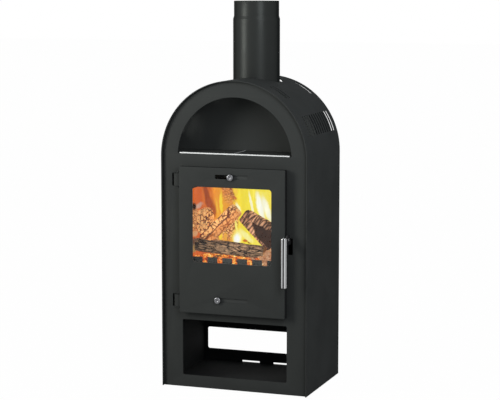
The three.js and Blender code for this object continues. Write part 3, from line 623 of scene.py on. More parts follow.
@dataclass(frozen=True)
class Vermiculite:
    """Pressed vermiculite board: golden flakes, browned and sooted by the fire."""

    name: str = "vermiculite"
    colour: Colour = screen(176, 140, 96)
    soot: Colour = screen(58, 44, 34)

    def material(self) -> Material:
        """Builds the material.

        Returns:
            The finished material.
        """
        recipe = Recipe(self.name)
        flakes = recipe.cells(recipe.place(), 320.0, "F1")
        soot = recipe.noise(recipe.place((1, 1, 0.5)), 11.0, 5, 0.6)
        darker = tinted(self.colour, 0.6)
        speckle = recipe.ramp(flakes, [(0.1, self.colour), (0.8, darker)])
        colour = recipe.blend(recipe.span(soot, 0.35, 0.7), speckle, self.soot)
        return recipe.surface(Base_Color=colour, Roughness=0.95, Specular_IOR_Level=0.1,
                              Normal=recipe.bump(flakes, 0.4, 0.001))


class Wood(Enum):
    """How far a log has burnt, and which side of it shows."""

    BARK = "bark"
    SQUARES = "charred_squares"
    RIDGES = "charred_ridges"


@dataclass(frozen=True)
class Firewood:
    """Burning wood: bark or char with cracks along and across the grain, with the fire's light on it painted
    in as a glow.
    """

    wood: Wood
    pale: Colour
    middle: Colour
    crack: Colour
    painted_firelight: float = 0.0
    across: float = 70.0
    along: float = 30.0
    cut: Colour = screen(168, 128, 80)
    gap: float = 0.14
    patchy: float = 0.3
    shade: float = 0.6

    def material(self) -> Material:
        """Builds the material.

        Returns:
            The finished material.
        """
        recipe = Recipe(f"wood_{self.wood.value}")
        grain = recipe.grown("grain", (self.across, self.along, 1))
        swirl = recipe.noise(grain, 1.2, 5, 0.6, 0.4)
        fine = recipe.noise(recipe.place(), 240.0, 4, 0.7)
        broad = recipe.noise(recipe.place(), 34.0, 3, 0.6)
        bent = recipe.calc_vector("ADD", grain, swirl)
        edge = recipe.cells(bent, 1.0, "DISTANCE_TO_EDGE", 0.95)
        uneven = recipe.calc("SUBTRACT", recipe.noise(grain, 0.55, 3, 0.6), 0.5)
        uneven = recipe.times(uneven, self.patchy)
        crack = recipe.span(recipe.plus(edge, uneven), 0.0, self.gap)
        tone = recipe.plus(recipe.times(swirl, 0.55), recipe.times(fine, 0.45))
        skin = recipe.ramp(tone, [(0.38, self.middle), (0.60, self.pale)])
        colour = recipe.blend(crack, self.crack, skin)
        zone = recipe.add("ShaderNodeAttribute", attribute_name="zone").outputs["Fac"]
        rings = recipe.noise(recipe.place(), 130.0, 4, 0.6, 1.5)
        face = recipe.ramp(rings, [(0.35, tinted(self.cut, 0.7)), (0.6, self.cut)])
        colour = recipe.blend(zone, colour, face)
        burnt = recipe.add("ShaderNodeAttribute", attribute_name="burnt").outputs["Fac"]
        colour = recipe.blend(burnt, colour, self.crack)
        light = recipe.span(broad, 0.36, 0.62, self.shade, 1.15)
        colour = recipe.scaled(colour, light)
        height = recipe.plus(recipe.times(crack, 0.8), recipe.times(fine, 0.3))
        normal = recipe.bump(height, 0.7, 0.002)
        # Painted light: the emission lights the wood in its own colour, standing in for the flames shining on
        # it.
        return recipe.surface(Base_Color=colour, Roughness=0.9, Specular_IOR_Level=0.1, Normal=normal,
                              Emission_Color=colour, Emission_Strength=self.painted_firelight)


@dataclass(frozen=True)
class Ember:
    """Glowing coals: a grey and black crust over an orange heart."""

    name: str = "ember"
    strength: float = 1.0

    def material(self) -> Material:
        """Builds the material.

        Returns:
            The finished material.
        """
        recipe = Recipe(self.name)
        where = recipe.place()
        heat = recipe.noise(where, 28.0, 4, 0.6, 0.8)
        edge = recipe.cells(where, 95.0)
        crust = recipe.span(edge, 0.03, 0.2)
        warm = recipe.plus(heat, recipe.times(crust, -0.12))
        colour = recipe.ramp(warm, [
            (0.24, screen(52, 30, 22)), (0.36, screen(176, 62, 20)), (0.47, screen(240, 124, 40)),
            (0.56, screen(255, 196, 84)), (0.68, screen(255, 244, 190))])
        across = recipe.parts(where)["X"]
        cold = recipe.plus(across, recipe.span(recipe.noise(where, 60.0, 3), 0.3, 0.7, -0.045, 0.045))
        ash = recipe.ramp(recipe.noise(where, 130.0, 4, 0.7), [
            (0.35, screen(96, 66, 52)), (0.5, screen(178, 128, 90)), (0.65, screen(214, 176, 142))])
        colour = recipe.blend(recipe.span(cold, 0.045, 0.075, 0.0, 0.85), colour, ash)
        return recipe.surface(Base_Color=screen(40, 30, 26), Roughness=0.95, Specular_IOR_Level=0.05,
                              Emission_Color=colour, Emission_Strength=self.strength,
                              Normal=recipe.bump(edge, 0.5, 0.002))


@dataclass(frozen=True)
class Patch:
    """A soft patch in the flames, in millimetres on the sheet and in screen colour, or of charred wood."""

    along: float
    up: float
    half_length: float
    half_height: float
    colour: Optional[tuple[int, int, int]]
    strength: float = 1.0
    tilt: float = 0.0


@dataclass(frozen=True)
class FlameSheet:
    """Flames seen as a curtain: bands of orange and yellow that lick upwards, with hot and dark patches."""

    name: str = "flame_sheet"
    length: float = 383.5
    height: float = 286.8
    bands: Stops = (
        (0.00, screen(214, 100, 40)), (0.17, screen(208, 94, 36)), (0.235, screen(186, 82, 32)),
        (0.285, screen(204, 100, 38)), (0.325, screen(234, 132, 42)), (0.370, screen(242, 162, 48)),
        (0.435, screen(240, 160, 50)), (0.485, screen(234, 142, 46)), (0.515, screen(246, 196, 50)),
        (0.570, screen(248, 224, 60)), (0.655, screen(246, 226, 66)), (0.70, screen(250, 232, 84)),
        (0.80, screen(251, 234, 96)), (0.88, screen(248, 222, 66)), (1.00, screen(248, 210, 60)))
    patches: Sequence[Patch] = (
        Patch(100, 224, 11.5, 55, (150, 64, 26), 0.95, 14),
        Patch(116, 190, 14, 34, (166, 74, 32), 0.92, 14),
        Patch(84, 221, 8.4, 40, (226, 118, 44), 0.6, 6),
        Patch(100, 173, 4.5, 20.1, (242, 154, 64), 0.6, 15),
        Patch(151, 204, 6, 40.1, (253, 224, 56), 0.9, 4),
        Patch(136, 193, 3.9, 26.8, (248, 196, 60), 0.6, 6),
        Patch(167, 241, 17.7, 16.7, (228, 130, 46), 0.8),
        Patch(160, 251, 14.1, 3.7, (184, 90, 36), 0.75, -12),
        Patch(172, 233, 12, 3.3, (188, 94, 40), 0.75, 14),
        Patch(189, 239, 6.3, 25, (138, 58, 24), 0.92, 12),
        Patch(196, 223, 8.5, 5, (196, 88, 34), 0.85, -30),
        Patch(204, 246, 4.2, 11.6, (250, 196, 70), 0.6),
        Patch(210, 193, 6, 18.3, (255, 250, 200), 0.92, 28),
        Patch(256, 208, 5, 38, (255, 252, 215), 0.9, 10),
        Patch(286, 198, 10.5, 50, (255, 254, 236), 1, 12),
        Patch(309, 190, 12, 46, (255, 253, 226), 0.97, 18),
        Patch(293, 252, 27.8, 6.6, (247, 226, 60), 0.7),
        Patch(14, 160, 36, 46, None, 0.97),
        Patch(50, 201, 34, 9, (196, 178, 164), 0.6),
        Patch(8, 202, 20, 13, (24, 20, 20), 0.96),
        Patch(10, 112, 34, 10, (212, 158, 112), 0.85),
        Patch(8, 84, 30, 16, (98, 74, 60), 0.95),
        Patch(8, 63, 24, 14, (160, 128, 80), 0.92),
        Patch(176, 236, 22, 34, None, 0.5, 12),
        Patch(120, 98, 34.5, 28.6, None, 0.96),
        Patch(168, 118, 30, 40, None, 0.96),
        Patch(193, 146, 19.4, 35.1, None, 0.96),
        Patch(147, 100, 8.2, 25.2, (253, 214, 58), 0.96),
        Patch(146, 125, 3.9, 13.4, (250, 196, 70), 0.85),
        Patch(165, 91, 6, 15.1, (246, 176, 64), 0.85),
        Patch(207, 97, 20, 25, (254, 226, 96), 0.95),
        Patch(207, 93, 15, 19, (255, 250, 186), 1),
        Patch(205, 90, 10.5, 14, (255, 255, 250), 1),
        Patch(203, 129, 4.9, 18.4, (254, 240, 120), 0.92, 8),
        Patch(218, 133, 4.2, 21.7, (251, 216, 72), 0.85, 18),
        Patch(239, 98, 29.9, 10.7, (254, 245, 156), 0.97, -38),
        Patch(235, 82, 9.1, 5.4, (198, 84, 30), 0.88, -10),
        Patch(248, 76, 5.6, 3, (150, 60, 24), 0.85, -20),
        Patch(184, 73, 17.7, 6, (251, 206, 92), 0.85))

    def charred(self, recipe: Recipe, where: Socket) -> Socket:
        """Gives the colour of charred wood among the flames: pale squares between dark cracks.

        Args:
            recipe: The material's recipe.
            where: The place on the sheet, in millimetres.

        Returns:
            The colour.
        """
        turned = recipe.out("ShaderNodeMapping", {
            "Vector": where, "Rotation": (0, 0, math.radians(40)), "Scale": (0.085, 0.12, 1)})
        bent = recipe.calc_vector("ADD", turned, recipe.noise(where, 0.08, 3))
        crack = recipe.span(recipe.cells(bent, 1.0, "DISTANCE_TO_EDGE", 0.9), 0.03, 0.16)
        tone = recipe.noise(where, 0.11, 4, 0.65)
        skin = recipe.ramp(tone, [(0.36, screen(206, 120, 66)), (0.5, screen(240, 168, 104)),
                                  (0.64, screen(250, 200, 130))])
        return recipe.blend(crack, screen(118, 56, 30), skin)

    def material(self) -> Material:
        """Builds the material.

        Returns:
            The finished material.
        """
        recipe = Recipe(self.name)
        across = recipe.parts(recipe.grown("sheet"))["X"]
        broad = recipe.noise(recipe.grown("sheet", (7, 2.2, 1)), 1.0, 3, 0.55, 0.3)
        licks = recipe.noise(recipe.grown("sheet", (26, 3.4, 1)), 1.0, 4, 0.6, 0.6)
        shift = recipe.plus(recipe.span(broad, 0.2, 0.8, -0.030, 0.030),
                           recipe.span(licks, 0.2, 0.8, -0.020, 0.020))
        colour = recipe.ramp(recipe.plus(across, shift), self.bands)
        where = recipe.grown("sheet", (self.length, self.height, 1))
        for scale, reach in ((0.022, (14, 18, 0)), (0.10, (5, 7, 0))):
            swirl = recipe.add("ShaderNodeTexNoise", {"Vector": where, "Scale": scale, "Detail": 3.0})
            push = recipe.calc_vector("SUBTRACT", swirl.outputs["Color"], (0.5, 0.5, 0.5))
            push = recipe.calc_vector("MULTIPLY", push, reach)
            where = recipe.calc_vector("ADD", where, push)
        charred = self.charred(recipe, where)
        for patch in self.patches:
            local = recipe.out("ShaderNodeMapping", {
                "Vector": where, "Location": (patch.along, patch.up, 0),
                "Rotation": (0, 0, math.radians(patch.tilt)),
                "Scale": (patch.half_length, patch.half_height, 1)}, vector_type="TEXTURE")
            length = recipe.add("ShaderNodeVectorMath", {0: local}, operation="LENGTH").outputs["Value"]
            share = recipe.span(length, 1.3, 0.55, 0.0, patch.strength)
            colour = recipe.blend(share, colour, screen(*patch.colour) if patch.colour else charred)
        strength = recipe.span(licks, 0.42, 0.72, 0.94, 1.08)
        emission = recipe.add("ShaderNodeEmission", {"Color": colour, "Strength": strength})
        return recipe.close(emission)


class GeometryTree(NodeTree):
    """Builds one Geometry Nodes tree with named inputs and turns its result into a plain mesh."""

    def __init__(self, name: str, sizes: dict[str, Union[float, int]]) -> None:
        """Starts a tree.

        Args:
            name: The tree's name.
            sizes: Its named inputs with their values; a whole number makes a whole-number input.
        """
        self.tree = bpy.data.node_groups.new(name, "GeometryNodeTree")
        self.tree.interface.new_socket("Geometry", in_out="OUTPUT", socket_type="NodeSocketGeometry")
        self.sizes = sizes
        self.keys: dict[str, str] = {}
        for label, value in sizes.items():
            kind = "NodeSocketInt" if isinstance(value, int) else "NodeSocketFloat"
            socket = self.tree.interface.new_socket(label, in_out="INPUT", socket_type=kind)
            self.keys[label] = socket.identifier
        self.source = self.tree.nodes.new("NodeGroupInput")
        self.sink = self.tree.nodes.new("NodeGroupOutput")

    def size(self, label: str) -> Socket:
        """Gives the socket of a named input."""
        return self.source.outputs[label]

    def vector(self, x: Value = 0.0, y: Value = 0.0, z: Value = 0.0) -> Socket:
        """Joins three values into a vector."""
        return self.out("ShaderNodeCombineXYZ", {0: x, 1: y, 2: z})

    def moved(self, geometry: Socket, position: Socket) -> Socket:
        """Puts each point of a geometry at a new position."""
        return self.out("GeometryNodeSetPosition", {"Geometry": geometry, "Position": position})

    def shifted(self, geometry: Socket, shift: Value, turn: Value = (0.0, 0.0, 0.0)) -> Socket:
        """Turns a geometry about the origin and then shifts it."""
        return self.out("GeometryNodeTransform", {
            "Geometry": geometry, "Translation": shift, "Rotation": turn})

    def block(self, size: Socket, columns: int, rows: int) -> Socket:
        """Gives a box with a number of points along its X and its Y."""
        return self.out("GeometryNodeMeshCube", {
            "Size": size, "Vertices X": columns, "Vertices Y": rows, "Vertices Z": 2})

    def joined(self, *geometries: Socket) -> Socket:
        """Joins geometries into one.

        Args:
            *geometries: The geometries.

        Returns:
            The joined geometry.
        """
        node = self.tree.nodes.new("GeometryNodeJoinGeometry")
        for geometry in geometries:
            self.tree.links.new(geometry, node.inputs[0])
        return node.outputs[0]

    def cut(self, solid: Socket, *cutters: Socket) -> Socket:
        """Cuts shapes out of a solid.

        Args:
            solid: What is cut.
            *cutters: The shapes that are taken away.

        Returns:
            What is left of the solid.
        """
        node = self.add("GeometryNodeMeshBoolean", {"Mesh 1": solid}, operation="DIFFERENCE", solver="EXACT")
        for cutter in cutters:
            self.tree.links.new(cutter, node.inputs["Mesh 2"])
        return node.outputs[0]

    def bake(self, name: str, geometry: Socket, material: Material) -> Piece:
        """Ends the tree in Realize Instances and Set Material, and turns its result into a plain mesh object.

        Args:
            name: The piece's name.
            geometry: The tree's last geometry.
            material: The piece's material.

        Returns:
            The piece, with its place in its mesh.
        """
        real = self.out("GeometryNodeRealizeInstances", {0: geometry})
        painted = self.out("GeometryNodeSetMaterial", {"Geometry": real, "Material": material})
        self.tree.links.new(painted, self.sink.inputs[0])
        piece = bpy.data.objects.new(name, bpy.data.meshes.new(name))
        bpy.context.scene.collection.objects.link(piece)
        modifier = piece.modifiers.new(self.tree.name, "NODES")
        modifier.node_group = self.tree
        for label, value in self.sizes.items():
            modifier[self.keys[label]] = value
        evaluated = piece.evaluated_get(bpy.context.evaluated_depsgraph_get())
        mesh = bpy.data.meshes.new_from_object(evaluated)
        mesh.name = name
        piece.modifiers.remove(modifier)
        piece.data = mesh
        return piece


class Joinery:
    """The making of single pieces: meshes from outlines and profiles, copies of the frame's nodes, edges."""

    record_slots = {row["node"]: Slot(row["material_slot"]) for row in frame["record"]["subparts"]}

    @staticmethod
    def object(name: str, mesh: bpy.types.Mesh, material: Optional[Material] = None) -> Piece:
        """Makes an object of a mesh and puts it in the scene.

        Args:
            name: The piece's name.
            mesh: Its mesh.
            material: Its material.

        Returns:
            The object.
        """
        mesh.name = name
        piece = bpy.data.objects.new(name, mesh)
        bpy.context.scene.collection.objects.link(piece)
        if material is not None:
            mesh.materials.clear()
            mesh.materials.append(material)
        return piece

    @staticmethod
    def mesh(name: str, bm: BMesh, merge: float = 1e-6) -> bpy.types.Mesh:
        """Closes a bmesh into a mesh with merged points and faces that point out.

        Args:
            name: The mesh's name.
            bm: The bmesh, which is freed.
            merge: Points closer than this are merged, in metres.

        Returns:
            The mesh.
        """
        bmesh.ops.remove_doubles(bm, verts=bm.verts[:], dist=merge)
        bmesh.ops.recalc_face_normals(bm, faces=bm.faces[:])
        mesh = bpy.data.meshes.new(name)
        bm.to_mesh(mesh)
        bm.free()
        return mesh

    @classmethod
    def merge(cls, piece: Piece, material: Material, distance: float) -> None:
        """Merges the near points of a finished piece and gives it its material again.

        Args:
            piece: The piece.
            material: Its material.
            distance: Points closer than this are merged, in metres.
        """
        bm = bmesh.new()
        bm.from_mesh(piece.data)
        piece.data = cls.mesh(piece.name, bm, distance)
        piece.data.materials.append(material)

    @staticmethod
    def smooth(mesh: bpy.types.Mesh, angle: float = SMOOTH_ANGLE) -> None:
        """Shades a mesh smooth, apart from edges sharper than an angle."""
        mesh.shade_smooth()
        mesh.set_sharp_from_angle(angle=angle)

    @staticmethod
    def soften(piece: Piece, width: float, segments: int = 2) -> None:
        """Rounds a piece's sharp edges.

        Args:
            piece: The piece.
            width: The width of the rounding, in millimetres.
            segments: Its steps.
        """
        bevel = piece.modifiers.new("softened_edges", "BEVEL")
        bevel.width = width * MM
        bevel.segments = segments
        bevel.limit_method = "ANGLE"
        bevel.angle_limit = SMOOTH_ANGLE
        bevel.harden_normals = True
        bevel.use_clamp_overlap = True

    @classmethod
    def dress(cls, node: str, material: Material, edge: float = 0.4, segments: int = 2) -> Piece:
        """Stands a copy of a node of the frame in its place, with its faces merged and its edges rounded.

        Args:
            node: The node's name.
            material: The piece's material.
            edge: The width of the rounding, in millimetres, or 0 for none.
            segments: The rounding's steps.

        Returns:
            The piece.
        """
        bm = bmesh.new()
        bm.from_mesh(frame["nodes"][node].data)
        bmesh.ops.remove_doubles(bm, verts=bm.verts[:], dist=WELD)
        bmesh.ops.dissolve_limit(bm, angle_limit=FLAT_ANGLE, verts=bm.verts[:], edges=bm.edges[:])
        piece = cls.object(f"{node}_dressed", cls.mesh(node, bm), material)
        cls.smooth(piece.data)
        if edge > 0:
            cls.soften(piece, edge, segments)
        cls.stand_for(piece, node)
        return piece

    @classmethod
    def stand_for(cls, piece: Piece, *nodes: str) -> None:
        """Lets a piece replace nodes and ride on their body.

        Args:
            piece: The piece.
            *nodes: The nodes, of which the first gives the body.
        """
        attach(piece, Body(frame["nodes"][nodes[0]]["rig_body"]).value)
        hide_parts(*nodes)
        log.info("%s stands for %s", piece.name, ", ".join(nodes))

    @staticmethod
    def ride(piece: Piece, body: Body, slot: Optional[Slot] = None) -> None:
        """Lets a piece of the scene's own ride on a body.

        Args:
            piece: The piece.
            body: The body.
            slot: Not used.
        """
        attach(piece, body.value)
        log.info("%s rides on %s", piece.name, body.value)

    @staticmethod
    def keep(material: Material, *nodes: str) -> None:
        """Gives nodes of the frame a material and leaves them as they are.

        Args:
            material: The material.
            *nodes: The nodes' names.
        """
        for node in nodes:
            data = frame["nodes"][node].data
            data.materials.clear()
            data.materials.append(material)

    @staticmethod
    def arc(x: float, y: float, radius: float, start: float, end: float, steps: int) -> list[Point]:
        """Gives the points of an arc.

        Args:
            x: Its middle along the first axis.
            y: Its middle along the second axis.
            radius: Its radius.
            start: Its first angle in degrees.
            end: Its last angle in degrees.
            steps: How many steps it has.

        Returns:
            The points, in millimetres.
        """
        angles = [math.radians(start + (end - start) * step / steps) for step in range(steps + 1)]
        return [(x + radius * math.cos(angle), y + radius * math.sin(angle)) for angle in angles]

    @classmethod
    def rounded(cls, left: float, right: float, bottom: float, top: float, radius: float,
                steps: int = 8) -> list[Point]:
        """Gives the points of a rectangle with rounded corners.

        Args:
            left: Its left side.
            right: Its right side.
            bottom: Its lower side.
            top: Its upper side.
            radius: The radius of its corners.
            steps: The steps of each corner.

        Returns:
            The points, in millimetres.
        """
        return [
            *cls.arc(right - radius, bottom + radius, radius, -90, 0, steps),
            *cls.arc(right - radius, top - radius, radius, 0, 90, steps),
            *cls.arc(left + radius, top - radius, radius, 90, 180, steps),
            *cls.arc(left + radius, bottom + radius, radius, 180, 270, steps)]

    @classmethod
    def plate(cls, name: str, node: str, outline: Sequence[Point], holes: Sequence[Sequence[Point]],
              front: float, rear: float, edge: float, material: Material) -> None:
        """Makes an upright plate with holes and rounded edges.

        Args:
            name: The piece's name.
            node: The node that it stands for.
            outline: Its outline in X and Z, in millimetres.
            holes: The outlines of its holes.
            front: Its front face's Y in millimetres from the casing's front edge.
            rear: Its rear face's Y.
            edge: The radius of its edges.
            material: Its material.
        """
        curve = bpy.data.curves.new(name, "CURVE")
        curve.dimensions = "2D"
        curve.fill_mode = "BOTH"
        curve.extrude = ((rear - front) / 2 - edge) * MM
        curve.bevel_depth = edge * MM
        curve.bevel_resolution = 2
        curve.offset = -edge * MM
        for points in [outline, *holes]:
            spline = curve.splines.new("POLY")
            spline.points.add(len(points) - 1)
            for target, (x, z) in zip(spline.points, points):
                target.co = (x * MM, z * MM, 0, 1)
            spline.use_cyclic_u = True
        holder = bpy.data.objects.new(name, curve)
        bpy.context.scene.collection.objects.link(holder)
        bpy.context.view_layer.update()
        drawn = bpy.data.meshes.new_from_object(holder.evaluated_get(bpy.context.evaluated_depsgraph_get()))
        bpy.data.objects.remove(holder)
        bpy.data.curves.remove(curve)
        bm = bmesh.new()
        bm.from_mesh(drawn)
        bpy.data.meshes.remove(drawn)
        turn = Matrix(((1, 0, 0), (0, 0, -1), (0, 1, 0))).to_4x4()
        turn = Matrix.Translation(Vector((0, (front + rear) / 2 * MM + LIP_Y, 0))) @ turn
        bmesh.ops.transform(bm, matrix=turn, verts=bm.verts[:])
        piece = cls.object(name, cls.mesh(name, bm, WELD), material)
        cls.smooth(piece.data, PLATE_ANGLE)
        cls.stand_for(piece, node)

    @classmethod
    def turned(cls, name: str, node: str, profile: Sequence[Point], middle: Vector, axis: str, steps: int,
               material: Material) -> None:
        """Makes a turned piece.

        Args:
            name: The piece's name.
            node: The node that it stands for.
            profile: Radius and distance along the axis, in millimetres, closed if it doesn't end on the axis.
            middle: The point of the axis that distances are counted from, in metres.
            axis: "X", "Y" or "Z".
            steps: How many steps go round it.
            material: Its material.
        """
        bm = bmesh.new()
        rings = []
        for radius, along in profile:
            if radius < 1e-6:
                rings.append([bm.verts.new((0, 0, along * MM))] * steps)
                continue
            angles = [2 * math.pi * step / steps for step in range(steps)]
            rings.append([bm.verts.new((radius * MM * math.cos(a), radius * MM * math.sin(a), along * MM))
                          for a in angles])
        for lower, upper in zip(rings, rings[1:]):
            for step in range(steps):
                after = (step + 1) % steps
                corners = [lower[step], lower[after], upper[after], upper[step]]
                corners = list(dict.fromkeys(corners))
                if len(corners) > 2:
                    bm.faces.new(corners)
        turns = {"X": Matrix.Rotation(math.pi / 2, 4, "Y"), "Y": Matrix.Rotation(-math.pi / 2, 4, "X"),
                 "Z": Matrix.Identity(4)}
        bmesh.ops.transform(bm, matrix=Matrix.Translation(middle) @ turns[axis], verts=bm.verts[:])
        piece = cls.object(name, cls.mesh(name, bm), material)
        cls.smooth(piece.data)
        cls.stand_for(piece, node)


@dataclass
class Casing:
    """The bent shell with its vents, the front plate, the rear and the log store, in millimetres."""

    paint: Material
    sheet: Material
    half_width: float = 250.0
    depth: float = 360.0
    arch_height: float = 765.0
    thickness: float = 3.0
    vent_count: int = 12
    vent_first: float = 72.7
    vent_pitch: float = 23.1
    vent_width: float = 12.0
    vent_skin: float = 2.2
    vent_reach: float = 24.0
    pocket_margin: float = 24.0
    pocket_turn: float = 1.2
    vent_angles: Point = (57.2, 73.2)
    top_vent_angles: Point = (23.6, 39.6)
    flue_depth: float = 227.0
    flue_radius: float = 86.0
    niche_radius: float = 195.5
    niche_sill: float = 774.7
    plate_front: float = 10.0
    plate_rear: float = 14.0
    plate_gap: float = 1.8
    door_opening: Rectangle = (-150.0, 150.0, 282.0, 700.0)
    store_opening: Rectangle = (-180.5, 180.5, 40.0, 226.5)
    lever_slot: Rectangle = (184.0, 200.0, 460.0, 516.0)
    hinge_slots: Sequence[Rectangle] = ((-215.0, -203.0, 668.0, 710.0), (-215.0, -203.0, 268.0, 310.0))
    arch_steps: int = 120

    def build(self) -> None:
        """Builds and dresses every piece of the casing."""
        self.shell()
        self.front_plate()
        for node, edge in (("rear_panel", 0.3), ("log_store_liner", 0.5), ("log_store_ceiling", 0.3),
                           ("base_plate", 0.3)):
            Joinery.dress(node, self.sheet, edge)

    @staticmethod
    def bent(tree: GeometryTree, block: Socket, angles: Point, side: int) -> Socket:
        """Bends a block round the arch: its X is the angle, its Z the height over the sheet's outer face.

        Args:
            tree: The tree that it is made in.
            block: The block.
            angles: The first and last angle from the top, in degrees.
            side: 1 for the right side, -1 for the left.

        Returns:
            The bent block.
        """
        spot = tree.parts(tree.out("GeometryNodeInputPosition"))
        angle = tree.plus(spot[0], math.radians(sum(angles) / 2) * side)
        radius = tree.plus(spot[2], tree.size("radius"))
        rise = tree.times(radius, tree.calc("COSINE", angle))
        return tree.moved(block, tree.vector(
            tree.times(radius, tree.calc("SINE", angle)), spot[1],
            tree.plus(rise, tree.size("arch_height"))))

    def vent_pocket(self, tree: GeometryTree, angles: Point, side: int) -> Socket:
        """Gives the cutter that thins the sheet from inside behind a row of vents.

        Args:
            tree: The tree that it is made in.
            angles: The vents' first and last angle from the top, in degrees.
            side: 1 for the right side, -1 for the left.

        Returns:
            The cutter.
        """
        reach = self.vent_reach * MM
        row = (self.vent_count - 1) * self.vent_pitch
        turn = math.radians(angles[1] - angles[0] + self.pocket_turn)
        block = tree.block(tree.vector(turn, (row + self.pocket_margin) * MM, reach), 11, 2)
        block = tree.shifted(block, tree.vector(
            0.0, (self.vent_first + row / 2) * MM + LIP_Y,
            tree.calc("SUBTRACT", -reach / 2, tree.size("vent_skin"))))
        return self.bent(tree, block, angles, side)

    def vent_cutters(self, tree: GeometryTree, angles: Point, side: int, ends_only: bool) -> Socket:
        """Gives a row of cutters, one for each vent, bent round the arch.

        Args:
            tree: The tree that they are made in.
            angles: The vents' first and last angle from the top, in degrees.
            side: 1 for the right side, -1 for the left.
            ends_only: Whether only the first two and the last of the row are kept.

        Returns:
            The instances.
        """
        span = math.radians(angles[1] - angles[0])
        block = tree.block(tree.vector(span, tree.size("vent_width"), self.vent_reach * MM), 9, 2)
        cutter = self.bent(tree, block, angles, side)
        line = tree.out("GeometryNodeMeshLine", {
            "Count": tree.size("vent_count"),
            "Start Location": tree.vector(0.0, tree.size("vent_first"), 0.0),
            "Offset": tree.vector(0.0, tree.size("vent_pitch"), 0.0)})
        inputs: dict[Any, Value] = {"Points": line, "Instance": cutter}
        if ends_only:
            index = tree.out("GeometryNodeInputIndex")
            first = tree.out("FunctionNodeCompare", {2: index, 3: 2}, data_type="INT", operation="LESS_THAN")
            last = tree.out("FunctionNodeCompare", {
                2: index, 3: self.vent_count - 1}, data_type="INT", operation="EQUAL")
            inputs["Selection"] = tree.out("FunctionNodeBooleanMath", {0: first, 1: last}, operation="OR")
        return tree.out("GeometryNodeInstanceOnPoints", inputs)

    def shell(self) -> None:
        """Builds the shell: a sheet rolled over the arch, with the vents and the flue's hole cut out."""
        tree = GeometryTree("rolled_shell", {
            "radius": self.half_width * MM, "depth": self.depth * MM, "arch_height": self.arch_height * MM,
            "thickness": self.thickness * MM, "vent_count": self.vent_count,
            "vent_first": self.vent_first * MM + LIP_Y, "vent_pitch": self.vent_pitch * MM,
            "vent_width": self.vent_width * MM, "vent_skin": self.vent_skin * MM,
            "flue_depth": self.flue_depth * MM + LIP_Y, "flue_radius": self.flue_radius * MM})
        length = (2 * self.arch_height + math.pi * self.half_width) * MM
        steps = round(self.arch_steps * length / (math.pi * self.half_width * MM))
        sheet = tree.out("GeometryNodeMeshGrid", {
            "Size X": length, "Size Y": tree.size("depth"), "Vertices X": steps + 1, "Vertices Y": 7})
        spot = tree.parts(tree.out("GeometryNodeInputPosition"))
        radius = tree.size("radius")
        turn = tree.calc("MAXIMUM", tree.calc("DIVIDE", spot[0], radius), -math.pi / 2)
        turn = tree.calc("MINIMUM", turn, math.pi / 2)
        rest = tree.calc("ABSOLUTE", tree.calc("SUBTRACT", spot[0], tree.times(turn, radius)))
        height = tree.times(radius, tree.calc("COSINE", turn))
        height = tree.calc("SUBTRACT", tree.plus(height, tree.size("arch_height")), rest)
        rolled = tree.moved(sheet, tree.vector(
            tree.times(radius, tree.calc("SINE", turn)), spot[1], height))
        inner = tree.out("GeometryNodeExtrudeMesh", {
            "Mesh": rolled, "Offset Scale": tree.times(tree.size("thickness"), -1.0),
            "Individual": False})
        inner = tree.out("GeometryNodeFlipFaces", {0: inner})
        solid = tree.out("GeometryNodeMergeByDistance", {
            "Geometry": tree.joined(rolled, inner), "Distance": 1e-5})
        hole = tree.out("GeometryNodeMeshCylinder", {
            "Vertices": 128, "Radius": tree.size("flue_radius"), "Depth": 0.4})
        hole = tree.shifted(hole, tree.vector(
            0.0, tree.size("flue_depth"), tree.plus(radius, tree.size("arch_height"))))
        vents = [(self.vent_angles, False, 1), (self.vent_angles, False, -1),
                 (self.top_vent_angles, True, 1), (self.top_vent_angles, True, -1)]
        rows = [self.vent_cutters(tree, angles, side, ends_only) for angles, ends_only, side in vents]
        cutters = [tree.out("GeometryNodeRealizeInstances", {0: row}) for row in rows]
        cutters += [self.vent_pocket(tree, angles, side) for angles, _, side in vents]
        piece = tree.bake("outer_shell_rolled", tree.cut(solid, *cutters, hole), self.paint)
        Joinery.merge(piece, self.paint, 1e-6)
        Joinery.smooth(piece.data)
        Joinery.soften(piece, 0.5)
        Joinery.stand_for(piece, "outer_shell")

    def front_plate(self) -> None:
        """Builds the front plate with its openings."""
        radius = self.half_width - self.thickness - self.plate_gap
        arch = Joinery.arc(0, self.arch_height, radius, 0, 180, self.arch_steps)
        rise = math.degrees(math.asin((self.niche_sill - self.arch_height) / self.niche_radius))
        holes = [
            Joinery.arc(0, self.arch_height, self.niche_radius, rise, 180 - rise, self.arch_steps),
            Joinery.rounded(*self.door_opening, 8),
            Joinery.rounded(*self.store_opening, 5),
            Joinery.rounded(*self.lever_slot, 1.5, 4),
            *[Joinery.rounded(*slot, 2, 4) for slot in self.hinge_slots]]
        Joinery.plate("front_plate_cut", "front_plate", [(-radius, 0), (radius, 0), *arch], holes,
                      self.plate_front, self.plate_rear, 0.5, self.paint)


@dataclass
class Niche:
    """The warming niche over the fire: its back, its shelf and the painted highlight lines along the shelf.
    """

    paint: Material
    bright: Material
    sheet: Material

    def build(self) -> None:
        """Dresses the niche's pieces."""
        for node, edge in (("niche_back_plate", 0.3), ("shelf_plate_left", 0.4), ("shelf_plate_right", 0.4)):
            Joinery.dress(node, self.paint, edge)
        # The trims take the pale edge colour, a painted highlight along the shelf's front and middle.
        Joinery.dress("shelf_trim_front", self.bright, 0.5)
        Joinery.dress("shelf_trim_centre", self.bright, 0.3)
        Joinery.keep(self.sheet, "niche_floor")


